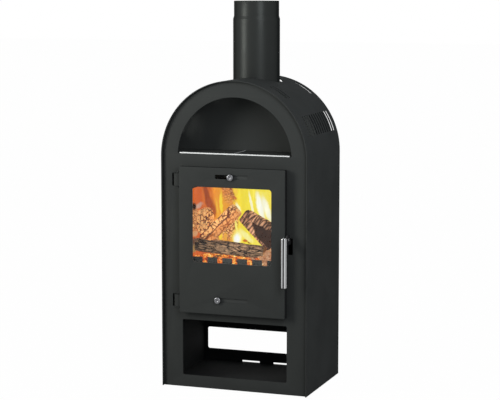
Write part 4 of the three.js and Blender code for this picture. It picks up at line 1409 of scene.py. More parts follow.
@dataclass
class Flue:
    """The flue pipe, drawn in to a spigot at its top, on its collar, in millimetres."""

    paint: Material
    iron: Material
    depth: float = 227.0
    radius: float = 77.5
    wall: float = 2.0
    spigot_radius: float = 74.5
    bottom: float = 760.6
    top: float = 1265.6
    shoulder: float = 1216.0
    taper: float = 9.0
    steps: int = 160

    def build(self) -> None:
        """Builds the pipe and dresses its collar."""
        inner, spigot = self.radius - self.wall, self.spigot_radius
        rim = 0.7
        cone = self.shoulder - self.taper
        profile = [
            (inner, self.bottom), (self.radius, self.bottom), (self.radius, cone - 3),
            (self.radius, cone - 0.6), (self.radius - 0.4, cone + 0.6),
            (spigot + 0.5, self.shoulder - 0.8), (spigot, self.shoulder + 0.8), (spigot, self.shoulder + 3),
            (spigot, self.top - rim), (spigot - 0.3, self.top - 0.2), (spigot - rim, self.top),
            (spigot - self.wall + rim, self.top), (spigot - self.wall + 0.2, self.top - 0.2),
            (spigot - self.wall, self.top - rim), (spigot - self.wall, self.shoulder),
            (inner, cone), (inner, self.bottom)]
        middle = place(0, self.depth, 0)
        Joinery.turned("flue_pipe_rolled", "flue_pipe", profile, middle, "Z", self.steps, self.paint)
        Joinery.dress("flue_collar", self.iron, 0.5)


@dataclass
class Hearth:
    """The firebox with its lining, grate, ash pan and log guard."""

    iron: Material
    board: Material
    zinc: Material

    def build(self) -> None:
        """Dresses the hearth's pieces."""
        for node in ("brick_left", "brick_right", "brick_back", "hearth_bed"):
            Joinery.dress(node, self.board, 1.5, 3)
        sooted = Vermiculite("sooted_board", screen(42, 37, 33), screen(22, 20, 19)).material()
        Joinery.dress("baffle_plate", sooted, 1.5, 3)
        # Painted light: the guard gets a lighter copy of the cast iron, to lift it in the dim firebox.
        Joinery.dress("log_guard", CastIron("guard_iron_lightened", screen(72, 75, 74)).material(), 0.5)
        Joinery.dress("grate", self.iron, 0.6)
        Joinery.dress("ash_pan", self.zinc, 0.3)
        Joinery.keep(self.iron, "firebox_body", "hearth_plate")
        Joinery.keep(self.zinc, "latch_keeper")


@dataclass
class Door:
    """The door: skin, walls, glass, seal, clips, hinges and their screws, in millimetres."""

    paint: Material
    glass: Material
    rope: Material
    sheet: Material
    zinc: Material
    iron: Material
    half_width: float = 181.5
    bottom: float = 254.5
    top: float = 734.5
    front: float = -15.0
    skin: float = 4.0
    rear: float = 7.0
    wall: float = 3.0
    corner: float = 3.0
    window_corner: float = 10.0
    slot_corner: float = 5.0
    window_half_width: float = 135.5
    window_bottom: float = 423.5
    window_top: float = 670.5
    slot_half_length: float = 57.0
    slot_half_height: float = 6.8
    slot_heights: Point = (705.0, 302.0)
    screw_x: float = -195.0
    screw_offset: float = 23.3
    screw_front: float = 10.0
    screw_radius: float = 3.4
    screw_height: float = 1.6
    screw_socket: float = 1.7
    hinge_heights: Point = (689.0, 289.0)
    rope_strands: int = 5
    rope_steps: int = 620
    rope_pitch: float = 26.0
    rope_corner: float = 18.0

    def build(self) -> None:
        """Builds and dresses the door's pieces."""
        self.tray()
        self.rope_seal()
        self.screws()
        Joinery.dress("door_glass", self.glass, 0.3)
        Joinery.dress("seal_channel", self.sheet, 0.3)
        for side in ("top", "right", "bottom", "left"):
            Joinery.dress(f"glass_clip_{side}", self.zinc, 0.3)
        for level in ("upper", "lower"):
            Joinery.dress(f"hinge_arm_{level}", self.paint, 0.5)
            Joinery.dress(f"slider_guide_{level}", self.sheet, 0.2)
            Joinery.keep(self.zinc, f"hinge_pin_{level}")
            Joinery.keep(self.iron, f"hinge_lug_{level}_top", f"hinge_lug_{level}_bottom")
        Joinery.keep(self.rope, "glass_gasket")

    def tray(self) -> None:
        """Builds the skin, and the walls of the frame behind its edge in the dark sheet, as painted shade
        along the door's edges.
        """
        half = self.half_width
        outline = Joinery.rounded(-half, half, self.bottom, self.top, self.corner)
        holes = [Joinery.rounded(-self.window_half_width, self.window_half_width, self.window_bottom,
                                 self.window_top, self.window_corner, 12)]
        for height in self.slot_heights:
            bottom, top = height - self.slot_half_height, height + self.slot_half_height
            holes.append(Joinery.rounded(-self.slot_half_length, self.slot_half_length, bottom, top,
                                         self.slot_corner))
        front = self.front + self.skin
        Joinery.plate("door_skin", "door_panel", outline, holes, self.front, front, 1.0, self.paint)
        rings = [Joinery.rounded(-half + inset, half - inset, self.bottom + inset, self.top - inset, 2)
                 for inset in (0.2, self.wall)]
        # Painted shade: the walls take the dark sheet instead of the paint, for the dark band and line along
        # the door's edges.
        Joinery.plate("door_walls", "door_frame", rings[0], rings[1:], front, self.rear, 0.4, self.sheet)

    def rope_seal(self) -> None:
        """Builds the rope behind the door's edge: strands twisted round a rounded rectangle."""
        low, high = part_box("door_rope_seal")
        radius = (high.y - low.y) / 2
        tree = GeometryTree("twisted_rope", {
            "half_width": (high.x - low.x) / 2 - radius, "half_height": (high.z - low.z) / 2 - radius,
            "rope_radius": radius, "pitch": self.rope_pitch * MM, "strands": self.rope_strands,
            "steps": self.rope_steps})
        path = tree.out("GeometryNodeCurvePrimitiveQuadrilateral", {
            "Width": tree.times(tree.size("half_width"), 2.0),
            "Height": tree.times(tree.size("half_height"), 2.0)}, mode="RECTANGLE")
        path = tree.out("GeometryNodeFilletCurve", {
            "Curve": path, "Radius": self.rope_corner * MM, "Count": 12}, mode="POLY")
        path = tree.out("GeometryNodeResampleCurve", {"Curve": path, "Count": tree.size("steps")})
        strand_radius = tree.times(tree.size("rope_radius"), 0.40)
        lay = tree.times(tree.size("rope_radius"), 0.58)
        done = tree.add("GeometryNodeSplineParameter").outputs["Length"]
        number = tree.out("GeometryNodeInputIndex")
        lane = tree.out("GeometryNodeMeshLine", {"Count": tree.size("strands"), "Offset": (0.0, 0.0, 0.0)})
        strands = tree.out("GeometryNodeInstanceOnPoints", {"Points": lane, "Instance": path})
        strands = tree.out("GeometryNodeStoreNamedAttribute", {
            "Geometry": strands, "Name": "turn",
            "Value": tree.calc("DIVIDE", number, tree.size("strands"))}, data_type="FLOAT", domain="INSTANCE")
        bundle = tree.out("GeometryNodeRealizeInstances", {0: strands})
        turn = tree.out("GeometryNodeInputNamedAttribute", {"Name": "turn"}, data_type="FLOAT")
        turns = tree.plus(tree.calc("DIVIDE", done, tree.size("pitch")), turn)
        angle = tree.times(turns, 2 * math.pi)
        normal = tree.out("GeometryNodeInputNormal")
        tangent = tree.out("GeometryNodeInputTangent")
        side = tree.calc_vector("CROSS_PRODUCT", normal, tangent)
        outwards = tree.scaled(normal, tree.times(tree.calc("COSINE", angle), lay))
        across = tree.scaled(side, tree.times(tree.calc("SINE", angle), lay))
        offset = tree.calc_vector("ADD", outwards, across)
        bundle = tree.out("GeometryNodeSetPosition", {"Geometry": bundle, "Offset": offset})
        ring = tree.out("GeometryNodeCurvePrimitiveCircle", {"Resolution": 8, "Radius": strand_radius})
        rope = tree.out("GeometryNodeCurveToMesh", {"Curve": bundle, "Profile Curve": ring})
        rope = tree.shifted(rope, tuple((low + high) / 2), (math.pi / 2, 0, 0))
        piece = tree.bake("door_rope_twisted", rope, self.rope)
        Joinery.merge(piece, self.rope, 1e-7)
        Joinery.smooth(piece.data, math.radians(80))
        Joinery.stand_for(piece, "door_rope_seal")

    def screws(self) -> None:
        """Builds the four screw heads beside the hinges, on the front plate."""
        tree = GeometryTree("hinge_screws", {
            "head_radius": self.screw_radius * MM, "head_height": self.screw_height * MM,
            "socket_radius": self.screw_socket * MM, "rows": 2, "screw_x": self.screw_x * MM,
            "plate_y": self.screw_front * MM + LIP_Y, "row_gap": 2 * self.screw_offset * MM})
        dome = tree.out("GeometryNodeMeshUVSphere", {
            "Segments": 24, "Rings": 12, "Radius": tree.size("head_radius")})
        flat = tree.calc("DIVIDE", tree.size("head_height"), tree.size("head_radius"))
        dome = tree.out("GeometryNodeTransform", {"Geometry": dome, "Scale": tree.vector(1.0, flat, 1.0)})
        socket = tree.out("GeometryNodeMeshCylinder", {
            "Vertices": 6, "Radius": tree.size("socket_radius"), "Depth": tree.size("head_height")})
        ahead = tree.vector(0.0, tree.times(tree.size("head_height"), -1.0), 0.0)
        socket = tree.shifted(socket, ahead, (math.pi / 2, 0, 0))
        head = tree.cut(dome, socket)
        lines = []
        for height in self.hinge_heights:
            start = tree.calc("SUBTRACT", height * MM, tree.times(tree.size("row_gap"), 0.5))
            lines.append(tree.out("GeometryNodeMeshLine", {
                "Count": tree.size("rows"),
                "Start Location": tree.vector(tree.size("screw_x"), tree.size("plate_y"), start),
                "Offset": tree.vector(0.0, 0.0, tree.size("row_gap"))}))
        heads = tree.out("GeometryNodeInstanceOnPoints", {
            "Points": tree.joined(*lines), "Instance": head})
        piece = tree.bake("hinge_screws", heads, self.iron)
        Joinery.smooth(piece.data)
        Joinery.ride(piece, Body.STOVE, Slot.CAST_IRON)


@dataclass
class Latch:
    """The lift latch: lever, round handle with its plugs, and the bolt, in millimetres."""

    bright: Material
    plug: Material
    rod_x: float = 188.3
    rod_y: float = -43.6
    rod_radius: float = 9.8
    rod_wall: float = 1.5
    rod_bottom: float = 362.0
    rod_top: float = 520.5
    bolt_y: float = -6.0
    bolt_z: float = 512.0
    bolt_body: Sequence[Point] = ((3, 181.8), (6, 181.8), (6, 185.0), (3, 185.0), (3, 191.6), (5.6, 191.6),
                                  (6, 192.0))

    def build(self) -> None:
        """Builds and dresses the latch's pieces."""
        # Painted shade: the lever takes the black plug material, for the dark it sits in beside the door's
        # edge.
        Joinery.dress("latch_lever", self.plug, 0.6)
        self.rod()
        self.plugs()
        self.bolt()

    def rod(self) -> None:
        """Builds the tube that the hand lifts."""
        outer, inner = self.rod_radius, self.rod_radius - self.rod_wall
        low, high, rim = self.rod_bottom, self.rod_top, 0.6
        profile = [
            (inner, low + rim), (inner + 0.3, low), (outer - rim, low), (outer - 0.15, low + 0.15),
            (outer, low + rim), (outer, low + 3), (outer, high - 3), (outer, high - rim),
            (outer - 0.15, high - 0.15), (outer - rim, high), (inner + 0.3, high), (inner, high - rim),
            (inner, low + rim)]
        middle = place(self.rod_x, self.rod_y, 0)
        Joinery.turned("handle_rod_turned", "handle_rod", profile, middle, "Z", 96, self.bright)

    def plugs(self) -> None:
        """Builds the two end plugs, slightly hollowed."""
        middle = place(self.rod_x, self.rod_y, 0)
        for node, sign in (("handle_plug_top", 1), ("handle_plug_bottom", -1)):
            low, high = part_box(node)
            bottom, top = low.z / MM, high.z / MM
            radius = (high.x - low.x) / 2 / MM
            face = top if sign > 0 else bottom
            back = bottom if sign > 0 else top
            profile = [(0, back), (radius, back), (radius, face - sign * 0.5), (radius - 0.5, face),
                       (radius - 1.6, face), (radius - 2.4, face - sign * 0.5), (0, face - sign * 0.9)]
            Joinery.turned(f"{node}_moulded", node, profile, middle, "Z", 48, self.plug)

    def bolt(self) -> None:
        """Builds the bolt that the lever turns on, with a domed head."""
        low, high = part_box("latch_bolt")
        start, end = low.x / MM, high.x / MM
        profile = [(0, start), (3, start), *self.bolt_body, (6, end - 1.4), (5.4, end - 0.6),
                   (4.2, end - 0.15), (0, end)]
        middle = place(0, self.bolt_y, self.bolt_z)
        Joinery.turned("latch_bolt_turned", "latch_bolt", profile, middle, "X", 48, self.bright)


@dataclass
class AirSliders:
    """The two air sliders and their turned knobs, in millimetres."""

    paint: Material
    bright: Material
    radius: float = 11.5
    thickness: float = 9.0

    def build(self) -> None:
        """Builds the knobs and dresses the sliders."""
        for level in ("upper", "lower"):
            Joinery.dress(f"air_slider_{level}", self.paint, 0.2)
            self.knob(f"air_knob_{level}")

    def knob(self, node: str) -> None:
        """Builds one knob with a round shoulder and a socket in its face.

        Args:
            node: The node that it stands for.
        """
        low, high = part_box(node)
        middle = Vector(((low.x + high.x) / 2, LIP_Y, (low.z + high.z) / 2))
        front = (low.y - LIP_Y) / MM
        rear = (high.y - LIP_Y) / MM
        r, edge = self.radius, 1.6
        back = front + self.thickness
        socket = [(0, front + 3.4), (2.4, front + 3.4), (3.0, front + 3.0), (3.0, front + 0.9),
                  (3.5, front + 0.5)]
        profile = [*socket, (r - 4.6, front), (r - 2.6, front + 0.5), (r - 1.2, front + 1.5),
                   (r - 0.3, front + 3.0), (r, front + 4.4), (r, back - edge), (r - 0.5, back - 0.5),
                   (r - edge, back), (4, back), (4, rear - 2.3), (2.5, rear - 2.3), (2.5, rear), (0, rear)]
        Joinery.turned(f"{node}_turned", node, profile, middle, "Y", 72, self.bright)


class Mark(Enum):
    """What a log's side shows besides its wood."""

    NONE = "none"
    SPLIT_FACE = "split_face"
    BURNT_SEAM = "burnt_seam"
    BURNT_END = "burnt_end"


@dataclass(frozen=True)
class Billet:
    """One piece of firewood: its axis and its half sizes, in millimetres."""

    node: str
    wood: Wood
    start: Spot
    end: Spot
    half_up: float
    half_side: float
    taper: float = 1.0
    squareness: float = 2.4
    relief: float = 2.4
    mark: Mark = Mark.NONE


@dataclass
class LogStack:
    """The burning logs behind the glass."""

    seed: float = 4.0
    rings: int = 90
    around: int = 80
    lump_scale: float = 38.0
    crack_width: float = 0.12
    end_rounding: float = 0.10
    billets: Sequence[Billet] = (
        Billet("log_front", Wood.BARK, (-143, 43, 473), (93, 43, 457), 24, 23, 0.92, 2.6, 3.4,
               Mark.BURNT_END),
        Billet("log_round_end", Wood.SQUARES, (-121, 36, 549), (-120, 92, 549), 43, 22, 1.0, 2.6, 2.6),
        Billet("log_leaning_left", Wood.SQUARES, (-118, 46, 486), (-3, 46, 595), 24, 15, 1.0, 3.4, 2.6,
               Mark.BURNT_SEAM),
        Billet("log_leaning_right", Wood.RIDGES, (1, 100, 569), (122, 100, 483), 24, 19, 1.84, 5.0, 2.6,
               Mark.SPLIT_FACE),
        Billet("log_bottom_left", Wood.BARK, (-79.4, 42, 416.6), (-79.4, 229, 416.6), 19.4, 19.4),
        Billet("log_bottom_right", Wood.BARK, (62.4, 42, 416.6), (62.4, 229, 416.6), 19.4, 19.4))

    def build(self) -> None:
        """Builds a log for each node and gives it its wood."""
        woods = {
            Wood.BARK: Firewood(
                Wood.BARK, screen(206, 166, 128), screen(118, 86, 64), screen(42, 29, 24), painted_firelight=0.22,
                across=120.0, along=30.0, cut=screen(190, 140, 84), gap=0.20, patchy=0.40, shade=0.40),
            # For the charred squares the cut colour is also painted shade, on the leaning log's lower face.
            Wood.SQUARES: Firewood(
                Wood.SQUARES, screen(252, 194, 128), screen(226, 150, 84), screen(96, 44, 28), painted_firelight=0.62,
                across=92.0, along=62.0, cut=screen(206, 112, 48), gap=0.16, patchy=0.5, shade=0.8),
            Wood.RIDGES: Firewood(
                Wood.RIDGES, screen(240, 184, 142), screen(196, 134, 98), screen(58, 32, 24), painted_firelight=0.44,
                across=24.0, along=96.0, cut=screen(60, 34, 22), gap=0.30, patchy=0.3, shade=0.8)}
        finished = {wood: finish.material() for wood, finish in woods.items()}
        for billet in self.billets:
            self.log(billet, finished[billet.wood])

    def log(self, billet: Billet, material: Material) -> None:
        """Builds one log, with ridges and cracks pressed into it.

        Args:
            billet: The log's sizes.
            material: Its wood.
        """
        start, end = place(*billet.start), place(*billet.end)
        axis = end - start
        ahead = axis.normalized()
        up = Vector((0, 0, 1)) if abs(ahead.z) < 0.9 else Vector((0, 1, 0))
        side = ahead.cross(up).normalized()
        up = side.cross(ahead).normalized()
        girth = 2 * math.pi * (billet.half_up + billet.half_side) / 2 * MM
        bm = bmesh.new()
        grain = bm.loops.layers.uv.new("grain")
        zone = bm.verts.layers.float.new("zone")
        burnt = bm.verts.layers.float.new("burnt")
        rows = []
        for ring in range(self.rings + 1):
            share = ring / self.rings
            size = 1 + (billet.taper - 1) * share - self.end_rounding * (abs(share - 0.5) * 2) ** 14
            row = []
            for step in range(self.around):
                angle = 2 * math.pi * step / self.around
                over, beside = math.sin(angle), math.cos(angle)
                power = billet.squareness
                reach = (abs(over) ** power + abs(beside) ** power) ** (-1 / power)
                here = up * (over * reach * billet.half_up * MM)
                here += side * (beside * reach * billet.half_side * MM)
                spot = (start + axis * share + here) * self.lump_scale
                spot += Vector((self.seed, 0, len(billet.node)))
                ridge = clamp(noise.fractal(spot, 1.0, 2.0, 4), -1.0)
                crack = max(0.0, self.crack_width - abs(noise.noise(spot * 1.8))) / self.crack_width
                push = -billet.relief * MM * (0.4 + 0.4 * ridge + 0.5 * crack)
                vert = bm.verts.new(start + axis * share + here * size + here.normalized() * push)
                if billet.mark is Mark.SPLIT_FACE:
                    vert[zone] = self.split(share, over * reach, beside, spot)
                elif billet.mark is Mark.BURNT_SEAM:
                    vert[zone], vert[burnt] = self.seam(share, over * reach, spot)
                elif billet.mark is Mark.BURNT_END:
                    vert[burnt] = 0.6 * max(0.0, 1 - share / 0.45) * (0.6 + noise.noise(spot))
                row.append(vert)
            rows.append(row)
        for ring, (lower, upper) in enumerate(zip(rows, rows[1:])):
            for step in range(self.around):
                after = (step + 1) % self.around
                face = bm.faces.new((lower[step], lower[after], upper[after], upper[step]))
                places = [(step, ring), (step + 1, ring), (step + 1, ring + 1), (step, ring + 1)]
                for loop, (u, v) in zip(face.loops, places):
                    loop[grain].uv = (u / self.around * girth, v / self.rings * axis.length)
        for row in (rows[0], rows[-1]):
            self.end_face(bm, row, grain, zone, billet.wood)
        piece = Joinery.object(f"{billet.node}_burnt", Joinery.mesh(billet.node, bm), material)
        Joinery.smooth(piece.data, math.radians(60))
        Joinery.stand_for(piece, billet.node)

    @staticmethod
    def split(share: float, over: float, beside: float, spot: Vector) -> float:
        """Tells how much a place on a log belongs to its dark split face.

        Args:
            share: How far along the log it lies.
            over: How far above the log's middle, from -1 to 1.
            beside: How far to its side, from -1 to 1.
            spot: The place, for an irregular edge.

        Returns:
            A value from 0 to 1.
        """
        blur = 0.10
        ragged = noise.noise(spot * 1.3) * 0.14
        beyond = 0.885 * share - 0.20
        lowest = max(-0.74, 0.25 - 3.8 * beyond)
        highest = min(0.75, 0.28 + 0.9 * beyond)
        low = clamp((over - lowest + ragged) / blur)
        high = clamp((highest - over + ragged) / blur)
        return low * high * (1.0 if abs(beside) > 0.2 and beyond > 0 else 0.0)

    @staticmethod
    def seam(share: float, over: float, spot: Vector) -> tuple[float, float]:
        """Gives the two faces of the leaning log: the lower one mixed towards a darker, redder colour as
        painted shade, and the burnt crack between them.

        Args:
            share: How far along the log the place lies.
            over: How far above the log's middle, from -1 to 1.
            spot: The place, for an irregular edge.

        Returns:
            How much it belongs to the lower face, and how much it is burnt.
        """
        ragged = noise.noise(spot * 1.1) * 0.12
        line = 0.02 + ragged
        # Painted shade: below the line the face is marked to take the darker, redder colour, for the log's
        # shaded underside.
        lower = clamp((line - over) / 0.2, 0.0, 0.5)
        width = 0.16 + 0.12 * noise.noise(spot * 0.7)
        burnt = max(0.0, 1.0 - abs(over - line) / max(0.02, width)) * (1.0 if 0.05 < share < 0.86 else 0.0)
        end = max(0.0, 1.0 - abs(share - 0.80 - 0.1 * over) / 0.03) * (1.0 if over > -0.3 else 0.0)
        foot = 1.0 if share < 0.3 and over > 0.70 + 0.5 * share else 0.0
        return lower, min(1.0, 1.6 * max(burnt, end, foot))

    @staticmethod
    def end_face(bm: BMesh, row: Sequence[bmesh.types.BMVert], grain: Layer, zone: Layer, wood: Wood) -> None:
        """Closes a log's end with an uneven cut face.

        Args:
            bm: The log's bmesh.
            row: The last row of points.
            grain: The UV layer.
            zone: The layer that marks cut faces.
            wood: The log's wood, whose charred squares cover the ends too.
        """
        middle = sum((vert.co for vert in row), Vector()) / len(row)
        outer = list(row)
        faces = []
        for size in (0.92, 0.6, 0.3):
            inner = []
            for vert in row:
                spot = middle.lerp(vert.co, size)
                new = bm.verts.new(spot + Vector((1, 1, 1)) * noise.noise(spot * 60) * MM)
                new[zone] = 0.0 if wood is Wood.SQUARES else 1.0
                inner.append(new)
            for step in range(len(outer)):
                after = (step + 1) % len(outer)
                faces.append(bm.faces.new((outer[step], outer[after], inner[after], inner[step])))
            outer = inner
        faces.append(bm.faces.new(outer))
        for face in faces:
            for loop in face.loops:
                loop[grain].uv = ((loop.vert.co - middle).x, (loop.vert.co - middle).z)


@dataclass
class Fire:
    """The flames round the sides and the back of the fire, and the bed of embers, in millimetres."""

    path: Sequence[Point] = ((-145, 19), (-145, 100), (-120, 128), (145, 128))
    bottom: float = 397.2
    flame_top: float = 660.0
    thickness: float = 2.0
    seed: int = 7
    sheet_share: float = 0.9163
    columns: int = 120
    levels: int = 60
    wave: float = 2.2
    bed_width: float = 284.0
    bed_length: float = 92.0
    bed_middle: float = 77.0
    bed_rise: float = 30.0
    lump_height: float = 22.0
    coal_size: float = 7.5
    coal_dent: float = 12.0
    coal_density: float = 14000.0
    bank_start: float = 45.0
    bank_rise: float = 0.50

    def build(self) -> None:
        """Builds the flames and the embers."""
        self.curtain()
        self.embers()

    def walk(self, step: float) -> tuple[Vector, Vector]:
        """Finds a point on the flames' path.

        Args:
            step: How far along the path, from 0 to 1.

        Returns:
            The point in X and Y in millimetres, and the direction of the path there.
        """
        corners = [Vector(point) for point in self.path]
        lengths = [(after - before).length for before, after in zip(corners, corners[1:])]
        left = step * sum(lengths)
        for before, after, length in zip(corners, corners[1:], lengths):
            if left <= length + 1e-9:
                return before.lerp(after, min(1.0, left / length)), (after - before).normalized()
            left -= length
        return corners[-1], (corners[-1] - corners[-2]).normalized()

    def curtain(self) -> None:
        """Builds the curtain of flames round the sides and the back of the fire."""
        bm = bmesh.new()
        sheet = bm.loops.layers.uv.new("sheet")
        height = self.flame_top - self.bottom
        sides = []
        for side in (0, 1):
            rows = []
            for column in range(self.columns + 1):
                u = column / self.columns
                point, along = self.walk(u)
                normal = Vector((along.y, -along.x))
                row = []
                for level in range(self.levels + 1):
                    v = level / self.levels
                    wave = noise.noise(Vector((u * 9, v * 3, self.seed))) * self.wave
                    wave *= math.sin(math.pi * min(1, v * 3) / 2)
                    spot = point - normal * (wave * math.sin(math.pi * u) + side * self.thickness)
                    row.append(bm.verts.new(place(spot.x, spot.y, self.bottom + height * v)))
                rows.append(row)
            sides.append(rows)
        columns, levels = range(self.columns), range(self.levels)
        quads = [[(s, c, e), (s, c + 1, e), (s, c + 1, e + 1), (s, c, e + 1)]
                 for s in (0, 1) for c in columns for e in levels]
        quads += [[(0, c, e), (0, c + 1, e), (1, c + 1, e), (1, c, e)]
                  for c in columns for e in (0, self.levels)]
        quads += [[(0, c, e), (0, c, e + 1), (1, c, e + 1), (1, c, e)]
                  for e in levels for c in (0, self.columns)]
        for corners in quads:
            face = bm.faces.new([sides[side][column][level] for side, column, level in corners])
            for loop, (_, column, level) in zip(face.loops, corners):
                loop[sheet].uv = (column / self.columns, level / self.levels * self.sheet_share)
        piece = Joinery.object("flame_curtain", Joinery.mesh("flame_curtain", bm), FlameSheet().material())
        piece.data.shade_smooth()
        Joinery.ride(piece, Body.STOVE)

    def embers(self) -> None:
        """Builds the bed of embers: a heap with coals strewn over it."""
        tree = GeometryTree("ember_bed", {
            "width": self.bed_width * MM, "length": self.bed_length * MM, "base": self.bottom * MM,
            "rise": self.bed_rise * MM, "coal_size": self.coal_size * MM, "bank_start": self.bank_start * MM,
            "bank_rise": self.bank_rise, "seed": self.seed})
        size = tree.vector(tree.size("width"), tree.size("length"), tree.size("rise"))
        middle = tree.plus(tree.size("base"), tree.times(tree.size("rise"), 0.5))
        bed = tree.shifted(tree.block(size, 72, 30), tree.vector(0.0, self.bed_middle * MM + LIP_Y, middle))
        position = tree.out("GeometryNodeInputPosition")
        spot = tree.parts(position)
        lumps = tree.out("ShaderNodeTexNoise", {"Vector": position, "Scale": 62.0, "Detail": 3.0})
        is_top = tree.out("FunctionNodeCompare", {
            0: spot[2], 1: tree.plus(tree.size("base"), 0.002)}, data_type="FLOAT",
            operation="GREATER_THAN")
        lift = tree.times(tree.calc("SUBTRACT", lumps, 0.5), self.lump_height * MM)
        bank = tree.calc("MAXIMUM", tree.calc("SUBTRACT", spot[0], tree.size("bank_start")), 0.0)
        lift = tree.plus(lift, tree.times(bank, tree.size("bank_rise")))
        heap = tree.out("GeometryNodeSetPosition", {
            "Geometry": bed, "Selection": is_top, "Offset": tree.vector(0.0, 0.0, lift)})
        points = tree.add("GeometryNodeDistributePointsOnFaces", {
            "Mesh": heap, "Selection": is_top, "Density": self.coal_density, "Seed": tree.size("seed")})
        coal = tree.out("GeometryNodeMeshIcoSphere", {"Radius": tree.size("coal_size"), "Subdivisions": 2})
        crumple = tree.add("ShaderNodeTexNoise", {
            "Vector": tree.out("GeometryNodeInputPosition"), "Scale": 170.0, "Detail": 2.0}).outputs["Color"]
        push = tree.calc_vector("SUBTRACT", crumple, (0.5, 0.5, 0.5))
        push = tree.scaled(push, self.coal_dent * MM)
        coal = tree.out("GeometryNodeSetPosition", {"Geometry": coal, "Offset": push})
        turn = tree.out("FunctionNodeRandomValue", {
            0: (0.0, 0.0, 0.0), 1: (6.28, 6.28, 6.28), "Seed": tree.size("seed")}, data_type="FLOAT_VECTOR")
        scale = tree.add("FunctionNodeRandomValue", {
            2: 0.45, 3: 1.15, "Seed": tree.size("seed")}, data_type="FLOAT").outputs[1]
        coals = tree.out("GeometryNodeInstanceOnPoints", {
            "Points": points.outputs[0], "Instance": coal, "Rotation": turn, "Scale": scale})
        piece = tree.bake("ember_bed", tree.joined(heap, coals), Ember().material())
        Joinery.smooth(piece.data, math.radians(50))
        Joinery.ride(piece, Body.STOVE)


@dataclass(frozen=True)
class Lamp:
    """One tall soft lamp: degrees to the right and up from the aim, metres, watts and colour."""

    name: str
    azimuth: float
    height: float
    distance: float
    size: Point
    power: float
    colour: Spot


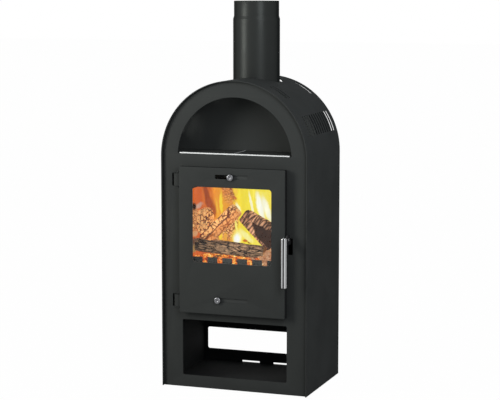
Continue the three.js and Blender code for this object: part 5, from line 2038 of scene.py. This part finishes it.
@dataclass
class Studio:
    """A pale floor and backdrop, two tall soft lamps and an even sky."""

    lamps: Sequence[Lamp] = (
        Lamp("key_lamp", -44.8, 13.0, 2.6, (0.85, 1.7), 49.0, (1.0, 0.985, 0.93)),
        Lamp("fill_lamp", 40.6, 24.0, 2.4, (0.85, 1.9), 26.5, (0.94, 0.965, 1.0)))
    sky: float = 0.30
    sky_colour: Colour = (0.90, 0.93, 1.0, 1.0)
    floor_reach: float = 30.0
    floor_colour: Colour = (0.5, 0.5, 0.5, 1.0)
    floor_white: float = 0.99
    aim: Spot = (0.0, 0.0, 0.80)

    def build(self) -> None:
        """Builds the floor, the lamps and the sky."""
        self.floor()
        self.sky_light()
        for lamp in self.lamps:
            self.hang(lamp)
        bpy.context.scene.view_settings.view_transform = "Standard"

    @staticmethod
    def seen(tree: bpy.types.NodeTree) -> Socket:
        """Tells rays from the camera, a reflection or a transmission from all others.

        Args:
            tree: The tree that the nodes are added to.

        Returns:
            A socket with 1 for such rays, and 0 for others.
        """
        path = tree.nodes.new("ShaderNodeLightPath")
        total = path.outputs["Is Camera Ray"]
        for name in ("Is Glossy Ray", "Is Transmission Ray"):
            node = tree.nodes.new("ShaderNodeMath")
            node.operation = "MAXIMUM"
            tree.links.new(total, node.inputs[0])
            tree.links.new(path.outputs[name], node.inputs[1])
            total = node.outputs[0]
        return total

    def floor(self) -> None:
        """Builds the floor, white where it is seen, which keeps a faint shadow."""
        bm = bmesh.new()
        bmesh.ops.create_grid(bm, x_segments=8, y_segments=8, size=self.floor_reach)
        mesh = bpy.data.meshes.new("floor")
        bm.to_mesh(mesh)
        bm.free()
        recipe = Recipe("pale_floor")
        diffuse = recipe.add("ShaderNodeBsdfDiffuse", {"Color": self.floor_colour})
        white = recipe.add("ShaderNodeEmission", {"Color": (1, 1, 1, 1), "Strength": 1.0})
        share = recipe.times(self.seen(recipe.tree), self.floor_white)
        mixed = recipe.add("ShaderNodeMixShader", {0: share, 1: diffuse.outputs[0], 2: white.outputs[0]})
        piece = Joinery.object("floor", mesh, recipe.close(mixed))

    def sky_light(self) -> None:
        """Builds the sky: white where it is seen, dimmer as a light."""
        world = bpy.data.worlds.new("pale_sky")
        world.use_nodes = True
        tree = world.node_tree
        tree.nodes.clear()
        output = tree.nodes.new("ShaderNodeOutputWorld")
        mixed = tree.nodes.new("ShaderNodeMixShader")
        for slot, strength, colour in ((1, self.sky, self.sky_colour), (2, 1.0, (1, 1, 1, 1))):
            background = tree.nodes.new("ShaderNodeBackground")
            background.inputs["Color"].default_value = colour
            background.inputs["Strength"].default_value = strength
            tree.links.new(background.outputs[0], mixed.inputs[slot])
        tree.links.new(self.seen(tree), mixed.inputs[0])
        tree.links.new(mixed.outputs[0], output.inputs[0])
        bpy.context.scene.world = world

    def hang(self, lamp: Lamp) -> None:
        """Hangs one soft lamp that looks at the stove.

        Args:
            lamp: The lamp.
        """
        light = bpy.data.lights.new(lamp.name, "AREA")
        light.shape = "RECTANGLE"
        light.size, light.size_y = lamp.size
        light.energy = lamp.power
        light.color = lamp.colour
        holder = bpy.data.objects.new(lamp.name, light)
        turn, rise = math.radians(lamp.azimuth), math.radians(lamp.height)
        way = Vector((math.sin(turn) * math.cos(rise), -math.cos(turn) * math.cos(rise), math.sin(rise)))
        holder.location = Vector(self.aim) + way * lamp.distance
        holder.rotation_euler = (-way).to_track_quat("-Z", "Y").to_euler()
        bpy.context.scene.collection.objects.link(holder)


@dataclass
class PhotoCamera:
    """A camera with the photograph's place, direction and lens."""

    location: Spot = (1.8594, -5.1898, 1.3310)
    rotation: Spot = (82.533, 0.0, 19.772)
    lens: float = 120.46
    sensor: float = 36.0

    def build(self) -> None:
        """Builds the camera and makes it the scene's."""
        data = bpy.data.cameras.new("photo_camera")
        data.lens = self.lens
        data.sensor_width = self.sensor
        data.sensor_fit = "HORIZONTAL"
        data.clip_end = 100
        camera = bpy.data.objects.new("photo_camera", data)
        camera.location = self.location
        camera.rotation_euler = [math.radians(angle) for angle in self.rotation]
        bpy.context.scene.collection.objects.link(camera)
        bpy.context.scene.camera = camera


def main() -> None:
    """Builds the scene in order."""
    paint = StovePaint().material()
    pipe = StovePaint("pipe_paint", screen(50, 52, 51), cloud=0.03, roughness=0.34, gloss=0.0, skin=0.02,
                      painted_bottom_shade=0.0, metal=0.38).material()
    sheet = MattSheet().material()
    iron = CastIron().material()
    bright = BrushedSteel().material()
    plug = BlackPlug().material()
    board = Vermiculite().material()
    zinc = ZincPlate().material()
    PhotoCamera().build()
    Studio().build()
    Casing(paint, sheet).build()
    Niche(paint, PaintedHighlightEdge().material(), sheet).build()
    Flue(pipe, iron).build()
    Hearth(iron, board, zinc).build()
    Door(paint, ClearGlass().material(), FibreRope().material(), sheet, zinc, iron).build()
    Latch(bright, plug).build()
    # Painted light: a lighter copy of the stove paint, so the sliders look lit where they sit in shade behind
    # the door's slots.
    slider = StovePaint("slider_paint_lightened", screen(67, 69, 68)).material()
    AirSliders(slider, TurnedSteel().material()).build()
    LogStack().build()
    Fire().build()


if __name__ == "__main__":
    main()
